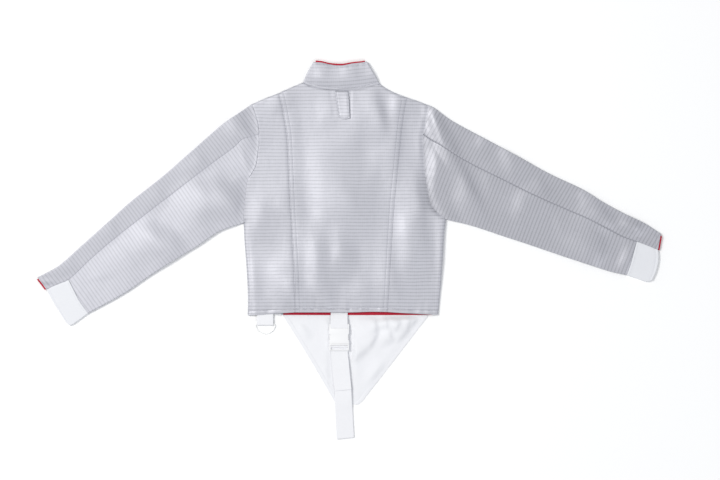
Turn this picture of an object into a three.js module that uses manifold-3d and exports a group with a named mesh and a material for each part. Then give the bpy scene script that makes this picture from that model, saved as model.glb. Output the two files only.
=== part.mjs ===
// A fencing lame laid flat on a surface with its back up. Millimetres.
// X runs to the right across the back, Y runs towards the collar, and Z is height above the surface.
// The fronts and the lower layers of the sleeves lie on the surface, and the back and upper layers lie on them.
import * as THREE from "three";
import { mergeVertices } from "three/addons/utils/BufferGeometryUtils.js";
import Module from "manifold-3d";

const wasm = await Module();
wasm.setup();

// Driving sizes
const WALL = 1.5;            // the metallic cloth with its backing
const THIN = 1.0;            // one layer of red lining or white cotton
const GAP = 0.3;             // between two layers that lie on each other
const SEAM = 0.2;            // half the gap left at a seam
const ARMHOLE_SEAM = 0.45;   // half the gap along the curved armholes
const LOFT = 7;              // usual height of the upper layer's outer face
const LEAST_LOFT = 5;        // its lowest, in a trough
const COLLAR_LOFT = 10;      // the stiff collar stands a little higher
const FOLD_REACH = 3.5;      // how far a folded edge rounds in from the outline
const RIM_LEFT = 9;          // the left side of the back rolls down over this width
const RIM_RIGHT = 6;
const RIM_SHOULDER = 7;
const LINING_SHOWS = 4;      // how far the red lining stands proud at the collar and cuffs
const FACING_DEEP = 28;      // red hem facing, from the front's hem up
const WEB_WIDE = 38;         // crotch strap and ring tab
const WEB_THICK = 1.2;

const COLOURS = {
  lame: { color: "#c6c7d0", roughness: 0.45, metalness: 0.55 },
  white: { color: "#f0f0f4", roughness: 0.9, metalness: 0 },
  red: { color: "#b3202f", roughness: 0.85, metalness: 0 },
  webbing: { color: "#f1f1f5", roughness: 0.8, metalness: 0 },
  plastic: { color: "#f8f8fa", roughness: 0.4, metalness: 0 },
  steel: { color: "#c9cacd", roughness: 0.25, metalness: 1 },
};

// Outlines, as points from hem to shoulder, or from armhole to cuff
const LEFT_SIDE = [[-234, -150], [-233, -115], [-236, -46], [-241, 20], [-243, 62]];
const LEFT_ARMHOLE_LOW = [[-243, 62], [-242, 90], [-238, 126], [-235, 154], [-231, 166],
  [-223, 179], [-215, 196], [-211, 223], [-208, 244], [-208, 265]];
const LEFT_ARMHOLE_HIGH = [[-208, 265], [-210, 286], [-215, 308], [-225, 335]];
const LEFT_PRINCESS = [[-125, -143], [-127, -55], [-131, 16], [-136, 104], [-140, 192],
  [-144, 262], [-152, 312], [-162, 361]];
const RIGHT_PRINCESS = [[86, -142], [91, -72], [96, 16], [102, 104], [107, 157], [114, 227],
  [122, 298], [131, 351]];
const RIGHT_SIDE = [[203, -148], [208, -92], [213, -30], [217, 34], [221, 70]];
const RIGHT_ARMHOLE_LOW = [[221, 70], [202, 86], [188, 105], [180, 136], [174, 172], [171, 207],
  [168, 251], [169, 266]];
const RIGHT_ARMHOLE_HIGH = [[169, 266], [174, 285], [179, 310], [181, 333]];

const HEM_LEFT = [[-234, -150], [-214, -149], [-157, -145], [-125, -143]];
const HEM_CENTRE = [[-125, -143], [-45, -143], [5, -143], [50, -141.5], [86, -142]];
const HEM_RIGHT = [[86, -142], [131, -145], [188, -148], [203, -148]];
const SHOULDER_LEFT_OUT = [[-225, 335], [-188, 351], [-162, 361]];
const SHOULDER_LEFT_IN = [[-162, 361], [-134, 374], [-107, 385]];
const SHOULDER_RIGHT_IN = [[69, 382], [89, 369], [110, 359], [131, 351]];
const SHOULDER_RIGHT_OUT = [[131, 351], [158, 342], [181, 333]];
const BACK_NECK = [[-107, 385], [-96, 378], [-79, 373], [-56, 369], [-26, 366.5], [3, 367],
  [38, 372], [69, 382]];
const FRONT_NECK = [[-107, 385], [-92, 366], [-66, 350], [-19, 340], [28, 348], [52, 363], [69, 382]];
const COLLAR_BACK_TOP = [[-84, 431], [-67, 430.5], [-50, 427], [-32, 424], [-14, 424], [6, 428],
  [27, 430.5], [40, 432.5]];
const COLLAR_FRONT_TOP = [[-84, 431], [-70, 418], [-50, 405], [-20, 399], [6, 406], [26, 419], [40, 432.5]];
const COLLAR_FOLD_LEFT = [[-107, 385], [-98, 406], [-84, 431]];
const COLLAR_FOLD_RIGHT = [[69, 382], [57, 404], [40, 432.5]];
const FRONT_HEM_Y = -150.5;

const SLEEVES = {
  left: {
    top: [[-225, 335], [-263, 309], [-289, 291], [-355, 234], [-428, 170], [-505, 109],
      [-547, 71], [-611, 14], [-669, -37], [-694, -51], [-716.5, -62.5]],
    seam: [[-208, 265], [-227, 260], [-246, 253], [-265, 236], [-318, 197], [-392, 140],
      [-465, 84], [-538, 27], [-593, -20], [-646, -69]],
    seamToEnd: [[-646, -69], [-665, -77], [-696, -90.5]],
    bottom: [[-243, 62], [-300, 42], [-355, 5], [-384, -12], [-458, -59], [-516, -99], [-601, -146]],
    jointAt: 0.9105,
    cuffJoint: [[-646, -69], [-634, -93], [-621, -118], [-601, -146]],
    cuffEnd: [[-696, -90.5], [-674, -130], [-650, -168]],
    cuffBottom: [[-601, -146], [-636, -171], [-643, -173.5], [-650, -168]],
    armholeLow: LEFT_ARMHOLE_LOW,
    armholeHigh: LEFT_ARMHOLE_HIGH,
  },
  right: {
    top: [[181, 333], [192, 328], [207, 317], [226, 303], [242, 293], [322, 250], [391, 213],
      [456, 177], [536, 139], [581, 111], [631, 84], [677, 62], [714.6, 38]],
    seam: [[169, 266], [189, 252], [211, 239], [276, 200], [352, 162], [429, 124], [486, 99],
      [543, 74], [600, 45], [627, 31], [660, 19]],
    seamToEnd: [[660, 19], [684, 10], [708, 0]],
    bottom: [[221, 70], [276, 57], [352, 32], [410, 13], [486, -13], [562, -38], [600, -50], [637, -58]],
    jointAt: 0.9145,
    cuffJoint: [[660, 19], [655, 2], [647, -28], [637, -58]],
    cuffEnd: [[708, 0], [709, -20], [704, -47], [694, -70]],
    cuffBottom: [[637, -58], [658, -65], [683, -73], [694, -70]],
    armholeLow: [...RIGHT_ARMHOLE_LOW].reverse(),
    armholeHigh: RIGHT_ARMHOLE_HIGH,
  },
};
SLEEVES.left.armholeLow = [...LEFT_ARMHOLE_LOW].reverse();

// The largest folds: a soft ridge, or a trough where high is below 0, along each line
const FOLDS = [
  // back, centre panel
  { x1: -89, y1: 218, x2: -89, y2: 115, wide: 16, high: 3 },
  { x1: -103, y1: 46, x2: -103, y2: -28, wide: 14, high: 3 },
  { x1: -36, y1: 4, x2: -36, y2: -58, wide: 10, high: 2.5 },
  { x1: 58, y1: 350, x2: 88, y2: 280, wide: 12, high: 3 },
  { x1: 97, y1: 320, x2: 101, y2: 250, wide: 9, high: -2 },
  { x1: -20, y1: 290, x2: -10, y2: 60, wide: 30, high: -1.5 },
  { x1: -98, y1: 376, x2: -26, y2: 364, wide: 24, high: 2 },
  { x1: -26, y1: 364, x2: 60, y2: 376, wide: 24, high: 2 },
  // back, left panel
  { x1: -188, y1: -41, x2: -188, y2: -110, wide: 14, high: 2.5 },
  { x1: -148, y1: 115, x2: -152, y2: 0, wide: 11, high: 2 },
  { x1: -202, y1: 318, x2: -188, y2: 230, wide: 14, high: 2 },
  { x1: -208, y1: -148, x2: -184, y2: -140, wide: 22, high: 1.5 },
  // back, right panel
  { x1: 109, y1: 80, x2: 123, y2: -74, wide: 10, high: 5 },
  { x1: 179, y1: 98, x2: 187, y2: -92, wide: 10, high: 5 },
  { x1: 160, y1: 172, x2: 149, y2: 64, wide: 11, high: -3 },
  { x1: 113, y1: 340, x2: 117, y2: 305, wide: 12, high: 2.5 },
  { x1: 153, y1: 326, x2: 162, y2: 280, wide: 11, high: 2.5 },
  // left sleeve
  { x1: -392, y1: 103, x2: -340, y2: 62, wide: 20, high: 5 },
  { x1: -427, y1: 46, x2: -381, y2: 16, wide: 14, high: -2.5 },
  { x1: -537, y1: 16, x2: -498, y2: -28, wide: 7, high: -2.5 },
  { x1: -498, y1: -28, x2: -459, y2: -54, wide: 7, high: -2.5 },
  { x1: -553, y1: -8, x2: -512, y2: -52, wide: 10, high: 3 },
  { x1: -252, y1: 313, x2: -234, y2: 271, wide: 9, high: -2 },
  { x1: -277, y1: 297, x2: -257, y2: 253, wide: 9, high: 3 },
  { x1: -251, y1: 246, x2: -234, y2: 190, wide: 9, high: 3 },
  { x1: -252, y1: 90, x2: -240, y2: 120, wide: 12, high: -3 },
  { x1: -340, y1: 238, x2: -318, y2: 214, wide: 10, high: -2 },
  { x1: -620, y1: -62, x2: -588, y2: -125, wide: 9, high: 2.5 },
  // right sleeve
  { x1: 238, y1: 241, x2: 256, y2: 177, wide: 9, high: -3 },
  { x1: 256, y1: 177, x2: 288, y2: 108, wide: 9, high: -3 },
  { x1: 187, y1: 306, x2: 211, y2: 241, wide: 11, high: 4 },
  { x1: 211, y1: 241, x2: 233, y2: 161, wide: 11, high: 4 },
  { x1: 204, y1: 186, x2: 192, y2: 110, wide: 8, high: 4 },
  { x1: 300, y1: 84, x2: 484, y2: 15, wide: 22, high: 3 },
  { x1: 341, y1: 218, x2: 360, y2: 184, wide: 10, high: 2.5 },
  { x1: 580, y1: -28, x2: 585, y2: 23, wide: 10, high: -2 },
  { x1: 606, y1: -30, x2: 628, y2: 20, wide: 9, high: 3 },
];
const CROTCH_FOLDS = [
  { x1: 30, y1: -160, x2: 44, y2: -200, wide: 10, high: 4 },
  { x1: 44, y1: -200, x2: -2, y2: -262, wide: 12, high: 4 },
  { x1: 82, y1: -160, x2: 88, y2: -196, wide: 9, high: 4.5 },
  { x1: 128, y1: -160, x2: 122, y2: -188, wide: 9, high: 4 },
  { x1: 122, y1: -188, x2: 92, y2: -226, wide: 9, high: 3.5 },
  { x1: -112, y1: -165, x2: -92, y2: -205, wide: 10, high: 3 },
];

// The zip runs up the left of the front in one straight line, and leans to the neck
const ZIP = { x: -170.5, y: -149, lean: Math.atan2(112, 541), tape: 24, chain: 5, slot: 14 };
const SLIDER_AT = 541;       // along the zip, from the hem
const ZIP_LIFT = 2.0;        // the slider and its pull hold the zip this much off the surface

// Curves, patches and walls

// A smooth curve through points, as a function of the share of its length.
function through(points) {
  const path = new THREE.CatmullRomCurve3(points.map(([x, y]) => new THREE.Vector3(x, y, 0)), false, "centripetal");
  path.arcLengthDivisions = 400;
  return (t) => path.getPointAt(Math.min(1, Math.max(0, t)));
}

// Curves end to end, each with its share of the whole.
function chain(...parts) {
  return (t) => {
    let start = 0;
    for (const [curve, share] of parts) {
      if (t <= start + share + 1e-9) return curve((t - start) / share);
      start += share;
    }
    return parts.at(-1)[0](1);
  };
}

// A plan that fills four boundary curves: left and right run along v, bottom and top along u.
function patch(left, right, bottom, top) {
  const corners = [bottom(0), bottom(1), top(0), top(1)];
  return (u, v) => {
    const sides = [left(v), right(v), bottom(u), top(u)];
    const shares = [1 - u, u, 1 - v, v];
    const cornerShares = [(1 - u) * (1 - v), u * (1 - v), (1 - u) * v, u * v];
    const mix = (key) => sides.reduce((sum, p, i) => sum + p[key] * shares[i], 0)
      - corners.reduce((sum, p, i) => sum + p[key] * cornerShares[i], 0);
    return new THREE.Vector2(mix("x"), mix("y"));
  };
}

const straight = ([x1, y1], [x2, y2]) => (t) => new THREE.Vector2(x1 + (x2 - x1) * t, y1 + (y2 - y1) * t);
const stretch = (curve, from, to) => (t) => curve(from + (to - from) * t);
const shifted = (points, dx, dy) => points.map(([x, y]) => [x + dx, y + dy]);
const steps = (count) => Array.from({ length: count + 1 }, (_, i) => i / count);
const radians = THREE.MathUtils.degToRad;
const smooth = THREE.MathUtils.smoothstep;

// Height that a table of folds adds at a point.
function relief(folds, x, y) {
  const point = new THREE.Vector3(x, y, 0);
  const nearest = new THREE.Vector3();
  return folds.reduce((sum, f) => {
    const line = new THREE.Line3(new THREE.Vector3(f.x1, f.y1, 0), new THREE.Vector3(f.x2, f.y2, 0));
    const away = line.closestPointToPoint(point, true, nearest).distanceTo(point);
    return sum + f.high * Math.exp(-((away / f.wide) ** 2));
  }, 0);
}

const upperHeight = (x, y) => Math.max(LEAST_LOFT, LOFT + relief(FOLDS, x, y));

// A closed wall from a grid whose points each have an outer and an inner place.
function wallOf(grid) {
  const [columns, rows] = [grid.length, grid[0].length];
  const places = ["outer", "inner"].flatMap((side) => grid.flat().map((point) => point[side]));
  const at = (side, c, r) => (side * columns + c) * rows + r;
  const index = [];
  const quad = (a, b, c, d) => index.push(a, b, c, a, c, d);
  for (let c = 0; c < columns - 1; c++) {
    for (let r = 0; r < rows - 1; r++) {
      quad(at(0, c, r), at(0, c + 1, r), at(0, c + 1, r + 1), at(0, c, r + 1));
      quad(at(1, c, r), at(1, c, r + 1), at(1, c + 1, r + 1), at(1, c + 1, r));
    }
    quad(at(0, c, 0), at(1, c, 0), at(1, c + 1, 0), at(0, c + 1, 0));
    quad(at(0, c, rows - 1), at(0, c + 1, rows - 1), at(1, c + 1, rows - 1), at(1, c, rows - 1));
  }
  for (let r = 0; r < rows - 1; r++) {
    quad(at(0, 0, r), at(0, 0, r + 1), at(1, 0, r + 1), at(1, 0, r));
    const last = columns - 1;
    quad(at(0, last, r + 1), at(0, last, r), at(1, last, r), at(1, last, r + 1));
  }
  const facing = signedVolume(places, index) < 0 ? index.reverse() : index;
  return new THREE.BufferGeometry().setFromPoints(places).setIndex(facing);
}

function signedVolume(places, index) {
  let volume = 0;
  for (let i = 0; i < index.length; i += 3) {
    const [a, b, c] = index.slice(i, i + 3).map((k) => places[k]);
    volume += a.dot(b.clone().cross(c)) / 6;
  }
  return volume;
}

// A sheet over a plan, between two heights that may change from place to place.
function sheet(plan, us, vs, low, high) {
  return wallOf(us.map((u) => vs.map((v) => {
    const { x, y } = plan(u, v);
    return { outer: new THREE.Vector3(x, y, high(x, y, v)), inner: new THREE.Vector3(x, y, low(x, y, v)) };
  })));
}

// A plan drawn in by a margin at its four sides: left, right, bottom and top.
function inset(plan, [left, right, bottom, top]) {
  const wide = (v) => plan(0, v).distanceTo(plan(1, v));
  const long = (u) => plan(u, 0).distanceTo(plan(u, 1));
  return (u, v) => {
    const [w, l] = [wide(v), long(u)];
    return plan(left / w + u * (1 - (left + right) / w), bottom / l + v * (1 - (bottom + top) / l));
  };
}

// A wall that lies flat, turns over at a folded edge and runs back. Each column has a plan, a share of
// that plan's flat width, a turn in degrees (90 above, -90 below) and the edge that it bends round.
function foldedWall(columns, rows, height, reach) {
  return wallOf(columns.map(({ plan, share, turn, edge }) => rows.map((v) => {
    const wide = plan(0, v).distanceTo(plan(1, v));
    const [leftIn, rightIn] = reach.map((r) => r / wide);
    const flat = leftIn + share * (1 - leftIn - rightIn);
    const outwards = edge ? 1 : -1;
    const place = (radius, rise) => {
      const half = height(...plan(flat, v).toArray()) / 2;
      const { x, y } = plan(flat + outwards * Math.cos(radians(turn)) * radius / wide, v);
      return new THREE.Vector3(x, y, half + (half - rise) * Math.sin(radians(turn)));
    };
    const radius = edge ? reach[1] : reach[0];
    return { outer: place(radius, 0), inner: place(Math.max(0, radius - WALL), WALL) };
  })));
}

const layer = (plan, shares, turn) => shares.map((share) => ({ plan, share, turn, edge: 1 }));
const bend = (plan, edge, turns) => turns.map((turn) => ({ plan, share: edge, turn, edge }));

// Solids that manifold-3d joins or cuts

function solid(geometry) {
  const bare = geometry.clone();
  bare.deleteAttribute("normal");
  bare.deleteAttribute("uv");
  const merged = mergeVertices(bare);
  return new wasm.Manifold(new wasm.Mesh({
    numProp: 3,
    vertProperties: merged.attributes.position.array,
    triVerts: new Uint32Array(merged.index.array),
  }));
}

function geometryOf(manifold) {
  const { vertProperties, triVerts } = manifold.getMesh();
  return new THREE.BufferGeometry()
    .setAttribute("position", new THREE.BufferAttribute(new Float32Array(vertProperties), 3))
    .setIndex(new THREE.BufferAttribute(new Uint32Array(triVerts), 1));
}

// A flat sheet on the surface, from its outline.
function flatSheet(outline, thick) {
  const shape = new THREE.Shape(outline.map(({ x, y }) => new THREE.Vector2(x, y)));
  const flat = new THREE.ExtrudeGeometry(shape, { depth: thick, bevelEnabled: false });
  flat.deleteAttribute("normal");
  flat.deleteAttribute("uv");
  return mergeVertices(flat, 1e-4);
}

// A round rod along X.
function rod(radius, x1, x2, y, z) {
  const bar = new THREE.CylinderGeometry(radius, radius, x2 - x1, 12);
  return solid(bar.rotateZ(Math.PI / 2).translate((x1 + x2) / 2, y, z));
}

// A block between two corners.
function block([x1, y1, z1], [x2, y2, z2]) {
  const box = new THREE.BoxGeometry(x2 - x1, y2 - y1, z2 - z1);
  return solid(box.translate((x1 + x2) / 2, (y1 + y2) / 2, (z1 + z2) / 2));
}

const fuse = (...solids) => solids.reduce((a, b) => a.add(b));
const cut = (from, ...solids) => solids.reduce((a, b) => a.subtract(b), from);

// A strip of webbing that follows a path of [y, z] points, placed across and along by a function.
function ribbon(path, wide, thick, place) {
  const points = path.map(([y, z]) => new THREE.Vector2(y, z));
  const normal = (i) => {
    const [before, after] = [points[Math.max(0, i - 1)], points[Math.min(points.length - 1, i + 1)]];
    const along = after.clone().sub(before).normalize();
    return new THREE.Vector2(-along.y, along.x).multiplyScalar(thick / 2);
  };
  const side = (across) => points.map((p, i) => {
    const n = normal(i);
    const at = (y, z) => {
      const { x, y: placedY } = place(across, y);
      return new THREE.Vector3(x, placedY, z);
    };
    return { outer: at(p.x + n.x, p.y + n.y), inner: at(p.x - n.x, p.y - n.y) };
  });
  return wallOf([side(-wide / 2), side(wide / 2)]);
}

// Points round an arc in a [y, z] path, by angles in degrees from +Y towards +Z.
function arcPath(y, z, radius, from, to, count) {
  return steps(count).map((t) => {
    const angle = radians(from + (to - from) * t);
    return [y + radius * Math.cos(angle), z + radius * Math.sin(angle)];
  });
}

// The garment

const garment = new THREE.Group();
function add(name, finish, geometry) {
  const mesh = new THREE.Mesh(geometry, new THREE.MeshStandardMaterial(COLOURS[finish]));
  mesh.name = name;
  garment.add(mesh);
}

// The back: three panels that lie over the fronts, and roll down to the surface at the sides and shoulders

const leftSide = through(LEFT_SIDE);
const rightSide = through(RIGHT_SIDE);
const leftArmhole = [...LEFT_ARMHOLE_LOW, ...LEFT_ARMHOLE_HIGH.slice(1)];
const rightArmhole = [...RIGHT_ARMHOLE_LOW, ...RIGHT_ARMHOLE_HIGH.slice(1)];
const leftEdge = chain([leftSide, 0.42], [through(shifted(leftArmhole, ARMHOLE_SEAM, 0)), 0.58]);
const rightEdge = chain([rightSide, 0.42], [through(shifted(rightArmhole, -ARMHOLE_SEAM, -SEAM)), 0.58]);
const leftPrincess = through(LEFT_PRINCESS);
const rightPrincess = through(RIGHT_PRINCESS);
const centreTop = chain([through(SHOULDER_LEFT_IN), 0.19], [through(BACK_NECK), 0.59],
  [through(SHOULDER_RIGHT_IN), 0.22]);

// Distance from a point to a boundary curve, and the way in from it.
function nearestOn(curve, x, y, count = 60) {
  let best = { away: Infinity };
  for (const t of steps(count)) {
    const p = curve(t);
    const away = Math.hypot(p.x - x, p.y - y);
    if (away < best.away) best = { away, x: p.x, y: p.y };
  }
  return best;
}

const RIMS = [
  { curve: leftSide, reach: RIM_LEFT, inwards: new THREE.Vector2(1, 0) },
  { curve: rightSide, reach: RIM_RIGHT, inwards: new THREE.Vector2(-1, 0) },
  { curve: through([...SHOULDER_LEFT_OUT, ...SHOULDER_LEFT_IN.slice(1)]), reach: RIM_SHOULDER,
    inwards: new THREE.Vector2(0.4, -0.92) },
  { curve: through([...SHOULDER_RIGHT_IN, ...SHOULDER_RIGHT_OUT.slice(1)]), reach: RIM_SHOULDER,
    inwards: new THREE.Vector2(-0.4, -0.92) },
];

// How far a point has risen from the rim that it is nearest to: 0 at the outline and 90 degrees inside.
function rimAt(x, y) {
  return RIMS.map(({ curve, reach, inwards }) => {
    const close = nearestOn(curve, x, y);
    const deep = Math.min(1, Math.max(0, ((x - close.x) * inwards.x + (y - close.y) * inwards.y) / reach));
    const past = Math.max(0, close.away - reach * deep) / reach;
    const share = Math.min(1, Math.hypot(deep, past));
    return { angle: Math.acos(1 - share), inwards };
  }).reduce((a, b) => (b.angle < a.angle ? b : a));
}

function backPanel(plan, us, vs) {
  return wallOf(us.map((u) => vs.map((v) => {
    const { x, y } = plan(u, v);
    const { angle, inwards } = rimAt(x, y);
    const rise = Math.sin(angle);
    const outer = new THREE.Vector3(x, y, upperHeight(x, y) * rise);
    const across = WALL * Math.cos(angle);
    const inner = new THREE.Vector3(x + inwards.x * across, y + inwards.y * across,
      Math.max(0, outer.z - WALL * rise));
    return { outer, inner };
  })));
}

const SHOULDER_ROWS = [0.985, 0.992, 0.997, 1];
const backRows = [...steps(26).map((t) => t * 0.972), ...SHOULDER_ROWS];
const centrePlan = patch(leftPrincess, rightPrincess, through(HEM_CENTRE), centreTop);
const leftPlan = patch(leftEdge, leftPrincess, through(HEM_LEFT), through(SHOULDER_LEFT_OUT));
const rightPlan = patch(rightPrincess, rightEdge, through(HEM_RIGHT), through(SHOULDER_RIGHT_OUT));
const RIM_COLUMNS = [0, 0.012, 0.035, 0.08];
const centreColumns = [0, 0.06, 0.12, 0.17, 0.19, 0.21, 0.26, 0.34, 0.42, 0.5, 0.58, 0.66, 0.72, 0.76,
  0.78, 0.8, 0.86, 0.93, 1];

add("back_centre", "lame", backPanel(inset(centrePlan, [SEAM, SEAM, 0, 0]), centreColumns, backRows));
add("back_left", "lame", backPanel(inset(leftPlan, [0, SEAM, 0, 0]),
  [...RIM_COLUMNS, ...steps(6).slice(1).map((t) => 0.08 + t * 0.92)], backRows));
add("back_right", "lame", backPanel(inset(rightPlan, [SEAM, 0, 0, 0]),
  [...steps(7).slice(0, -1).map((t) => t * 0.92), 0.92, ...RIM_COLUMNS.toReversed().slice(1).map((t) => 1 - t)],
  backRows));

// The fronts lie on the surface, with the zip between them, and are tucked in under the rolled sides

const zipX = (y) => ZIP.x + (y - ZIP.y) * Math.tan(ZIP.lean);
const zipEdge = (side) => {
  const across = side * (ZIP.slot / 2) / Math.cos(ZIP.lean);
  return (y) => [zipX(y) + across, y];
};
const leftOfZip = zipEdge(-1);
const rightOfZip = zipEdge(1);
const OVER = { top: steps(5), under: steps(12) };
const UNDER = { top: [1, 0.5, 0], under: [1, 0.75, 0.5, 0.25, 0] };
// The fronts meet the sleeves' lower layers, which have a point only at each of these shares.
const lowerArmhole = (curve, shares, dx) => shares.map((share) => curve(share)).map(({ x, y }) => [x + dx, y]);
const frontHem = (x) => FRONT_HEM_Y + 3 * Math.max(0, Math.abs(x - 20) - 120) / 100;
const hemPoints = (from, to) => steps(6).map((t) => from + (to - from) * t).map((x) => [x, frontHem(x)]);
const tucked = (curve, dx) => steps(8).slice(0, -1).map((t) => curve(0.02 + t * 0.98)).map(({ x, y }) => [x + dx, y]);
const lowered = (points) => points.map(([x, y]) => [x, y - RIM_SHOULDER - 2]);
const frontNeck = through(FRONT_NECK);
const neckPoints = (from, to) => steps(8).map((t) => frontNeck(from + (to - from) * t)).map(({ x, y }) => [x, y - 0.6]);
const rightShoulder = [...SHOULDER_RIGHT_IN, ...SHOULDER_RIGHT_OUT.slice(1)].reverse();
const leftShoulder = [...SHOULDER_LEFT_OUT, ...SHOULDER_LEFT_IN.slice(1, -1)];
const SHOULDER_SHARES = [0.48, 0.86];
const asPlan = (points) => points.map(([x, y]) => new THREE.Vector2(x, y));
const NECK_AT_ZIP = { left: 0.225, right: 0.3 };
add("front_main", "lame", flatSheet(asPlan([
  ...hemPoints(rightOfZip(FRONT_HEM_Y)[0], 195),
  ...tucked(rightSide, -RIM_RIGHT - 2),
  ...lowerArmhole(through(RIGHT_ARMHOLE_LOW), UNDER.under.toReversed(), -2 * ARMHOLE_SEAM),
  ...lowerArmhole(through(RIGHT_ARMHOLE_HIGH), SHOULDER_SHARES, -2 * ARMHOLE_SEAM),
  ...lowered(rightShoulder).slice(1, -1),
  ...neckPoints(0.97, NECK_AT_ZIP.right),
]), WALL));
add("front_left", "lame", flatSheet(asPlan([
  ...hemPoints(leftOfZip(FRONT_HEM_Y)[0], -223),
  ...tucked(leftSide, RIM_LEFT + 2),
  ...lowerArmhole(through(LEFT_ARMHOLE_LOW), UNDER.under.toReversed(), 2 * ARMHOLE_SEAM),
  ...lowerArmhole(through(LEFT_ARMHOLE_HIGH), SHOULDER_SHARES, 2 * ARMHOLE_SEAM),
  ...lowered(leftShoulder).slice(1),
  ...neckPoints(0.06, NECK_AT_ZIP.left),
]), WALL));

// Zip, slider and pull, made along Y at the origin and then turned to the zip's line

const turnToZip = (geometry) => geometry.rotateZ(-ZIP.lean).translate(ZIP.x, ZIP.y, 0);
const zipRise = (y) => ZIP_LIFT * smooth(y, SLIDER_AT - 90, SLIDER_AT - 40);
const TAPE_LOW = WALL + GAP;
function zipStrip(wide, low, high, end) {
  const plan = patch(straight([-wide / 2, 0], [-wide / 2, end]), straight([wide / 2, 0], [wide / 2, end]),
    straight([-wide / 2, 0], [wide / 2, 0]), straight([-wide / 2, end], [wide / 2, end]));
  return solid(sheet(plan, [0, 1], [0, 0.5, 0.82, 0.84, 0.86, 0.88, 0.9, 0.92, 0.94, 1],
    (x, y) => low + zipRise(y), (x, y) => high + zipRise(y)));
}
const CHAIN = { low: TAPE_LOW - 0.4, high: TAPE_LOW + THIN + 0.4 };
const CHANNEL = { low: CHAIN.low + ZIP_LIFT - 0.4, high: CHAIN.high + ZIP_LIFT + 0.4 };
const PLATE = 0.8;
const SLIDER = { wide: 10, long: 12 };
const wedge = block([-2, SLIDER_AT + 3.5, CHANNEL.low], [2, SLIDER_AT + SLIDER.long / 2, CHANNEL.high]);
const chainEnd = SLIDER_AT + 3;
add("front_zip", "white", turnToZip(geometryOf(cut(
  fuse(zipStrip(ZIP.tape, TAPE_LOW, TAPE_LOW + THIN, chainEnd + 6), zipStrip(ZIP.chain, CHAIN.low, CHAIN.high, chainEnd + 6)),
  block([-3, chainEnd, 0], [3, chainEnd + 10, 12]),
))));
const bridge = (x) => [
  block([-x, SLIDER_AT - 4.4, 0.1], [x, SLIDER_AT - 3.4, CHANNEL.low - 0.1]),
  block([-x, SLIDER_AT - 0.2, 0.1], [x, SLIDER_AT + 0.8, CHANNEL.low - 0.1]),
  block([-x, SLIDER_AT - 4.4, 0.1], [x, SLIDER_AT + 0.8, 0.7]),
];
const plate = (low) => block([-SLIDER.wide / 2, SLIDER_AT - SLIDER.long / 2, low],
  [SLIDER.wide / 2, SLIDER_AT + SLIDER.long / 2, low + PLATE]);
add("zip_slider", "steel", turnToZip(geometryOf(fuse(
  plate(CHANNEL.low - PLATE), plate(CHANNEL.high), wedge, ...bridge(1.2),
))));
const PULL = { bar: 0.45, wide: 6, long: 22, z: 0.7 + 0.35 + 0.45 };
const pullHinge = SLIDER_AT - 1.8;
const pullBar = rod(PULL.bar, -PULL.wide / 2, PULL.wide / 2, pullHinge, PULL.z);
const pullPlate = cut(
  block([-PULL.wide / 2, pullHinge - PULL.long, PULL.z - PULL.bar], [PULL.wide / 2, pullHinge, PULL.z + PULL.bar]),
  block([-1.7, pullHinge - 4.5, -1], [1.7, pullHinge + 1, 4]),
);
add("zip_pull", "steel", turnToZip(geometryOf(fuse(pullPlate, pullBar))));

// Collar: one band from the zip round the back of the neck to the zip again, and its red lining

const collarBackPlan = patch(through(COLLAR_FOLD_LEFT), through(COLLAR_FOLD_RIGHT), through(BACK_NECK),
  through(COLLAR_BACK_TOP));
const collarFrontPlan = patch(through(COLLAR_FOLD_LEFT), through(COLLAR_FOLD_RIGHT), through(FRONT_NECK),
  through(COLLAR_FRONT_TOP));
const COLLAR_MARGIN = [0, 0, 4 * SEAM, 0];
const collarBack = inset(collarBackPlan, COLLAR_MARGIN);
const collarFront = inset(collarFrontPlan, COLLAR_MARGIN);
const BENDS = [-60, -30, 0, 30, 60];
// The band is parted along the zip. Each row's share is where the zip's edge crosses that row.
const partedPlan = (side) => (u, v) => {
  const [left, right] = [collarFront(0, v), collarFront(1, v)];
  const gapEdge = (side < 0 ? leftOfZip : rightOfZip)((left.y + right.y) / 2 - 22 * (1 - v) - 20)[0];
  const share = (gapEdge - left.x) / (right.x - left.x);
  return side < 0 ? collarFront(u * share, v) : collarFront(share + u * (1 - share), v);
};
const collarColumns = [
  ...layer(partedPlan(-1), [0.95, 0.5, 0.15], -90).map((c) => ({ ...c, edge: 0 })),
  ...bend(collarBack, 0, [-90, ...BENDS]),
  ...layer(collarBack, steps(12), 90),
  ...bend(collarBack, 1, BENDS.toReversed()),
  ...layer(partedPlan(1), [1, 0.8, 0.6, 0.4, 0.2, 0.05], -90),
];
add("collar", "lame", foldedWall(collarColumns, steps(5), () => COLLAR_LOFT, [FOLD_REACH, FOLD_REACH]));

// Lining under a layer, with its last row moved out so that its edge shows.
function lining(plan, us, vs, shows, height) {
  const moved = (u, v) => plan(u, v).add(v === vs.at(-1) ? shows : new THREE.Vector2());
  const top = (x, y) => height(x, y) - WALL - GAP;
  return sheet(moved, us, vs, (x, y) => top(x, y) - THIN, top);
}
add("collar_lining", "red", lining(inset(collarBack, [6, 6, 0, 0]), steps(12), [0.3, 0.6, 0.9, 1],
  new THREE.Vector2(0, LINING_SHOWS), () => COLLAR_LOFT));

// Sleeves: a top piece and an under piece, each folded round its edge, a white cuff and a red cuff lining

const folded = (plan, over, under) =>
  [...layer(plan, over, 90), ...bend(plan, 1, BENDS.toReversed()), ...layer(plan, under, -90)];
const SLEEVE_ROWS = steps(20);
const CUFF_ROWS = steps(4);

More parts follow.
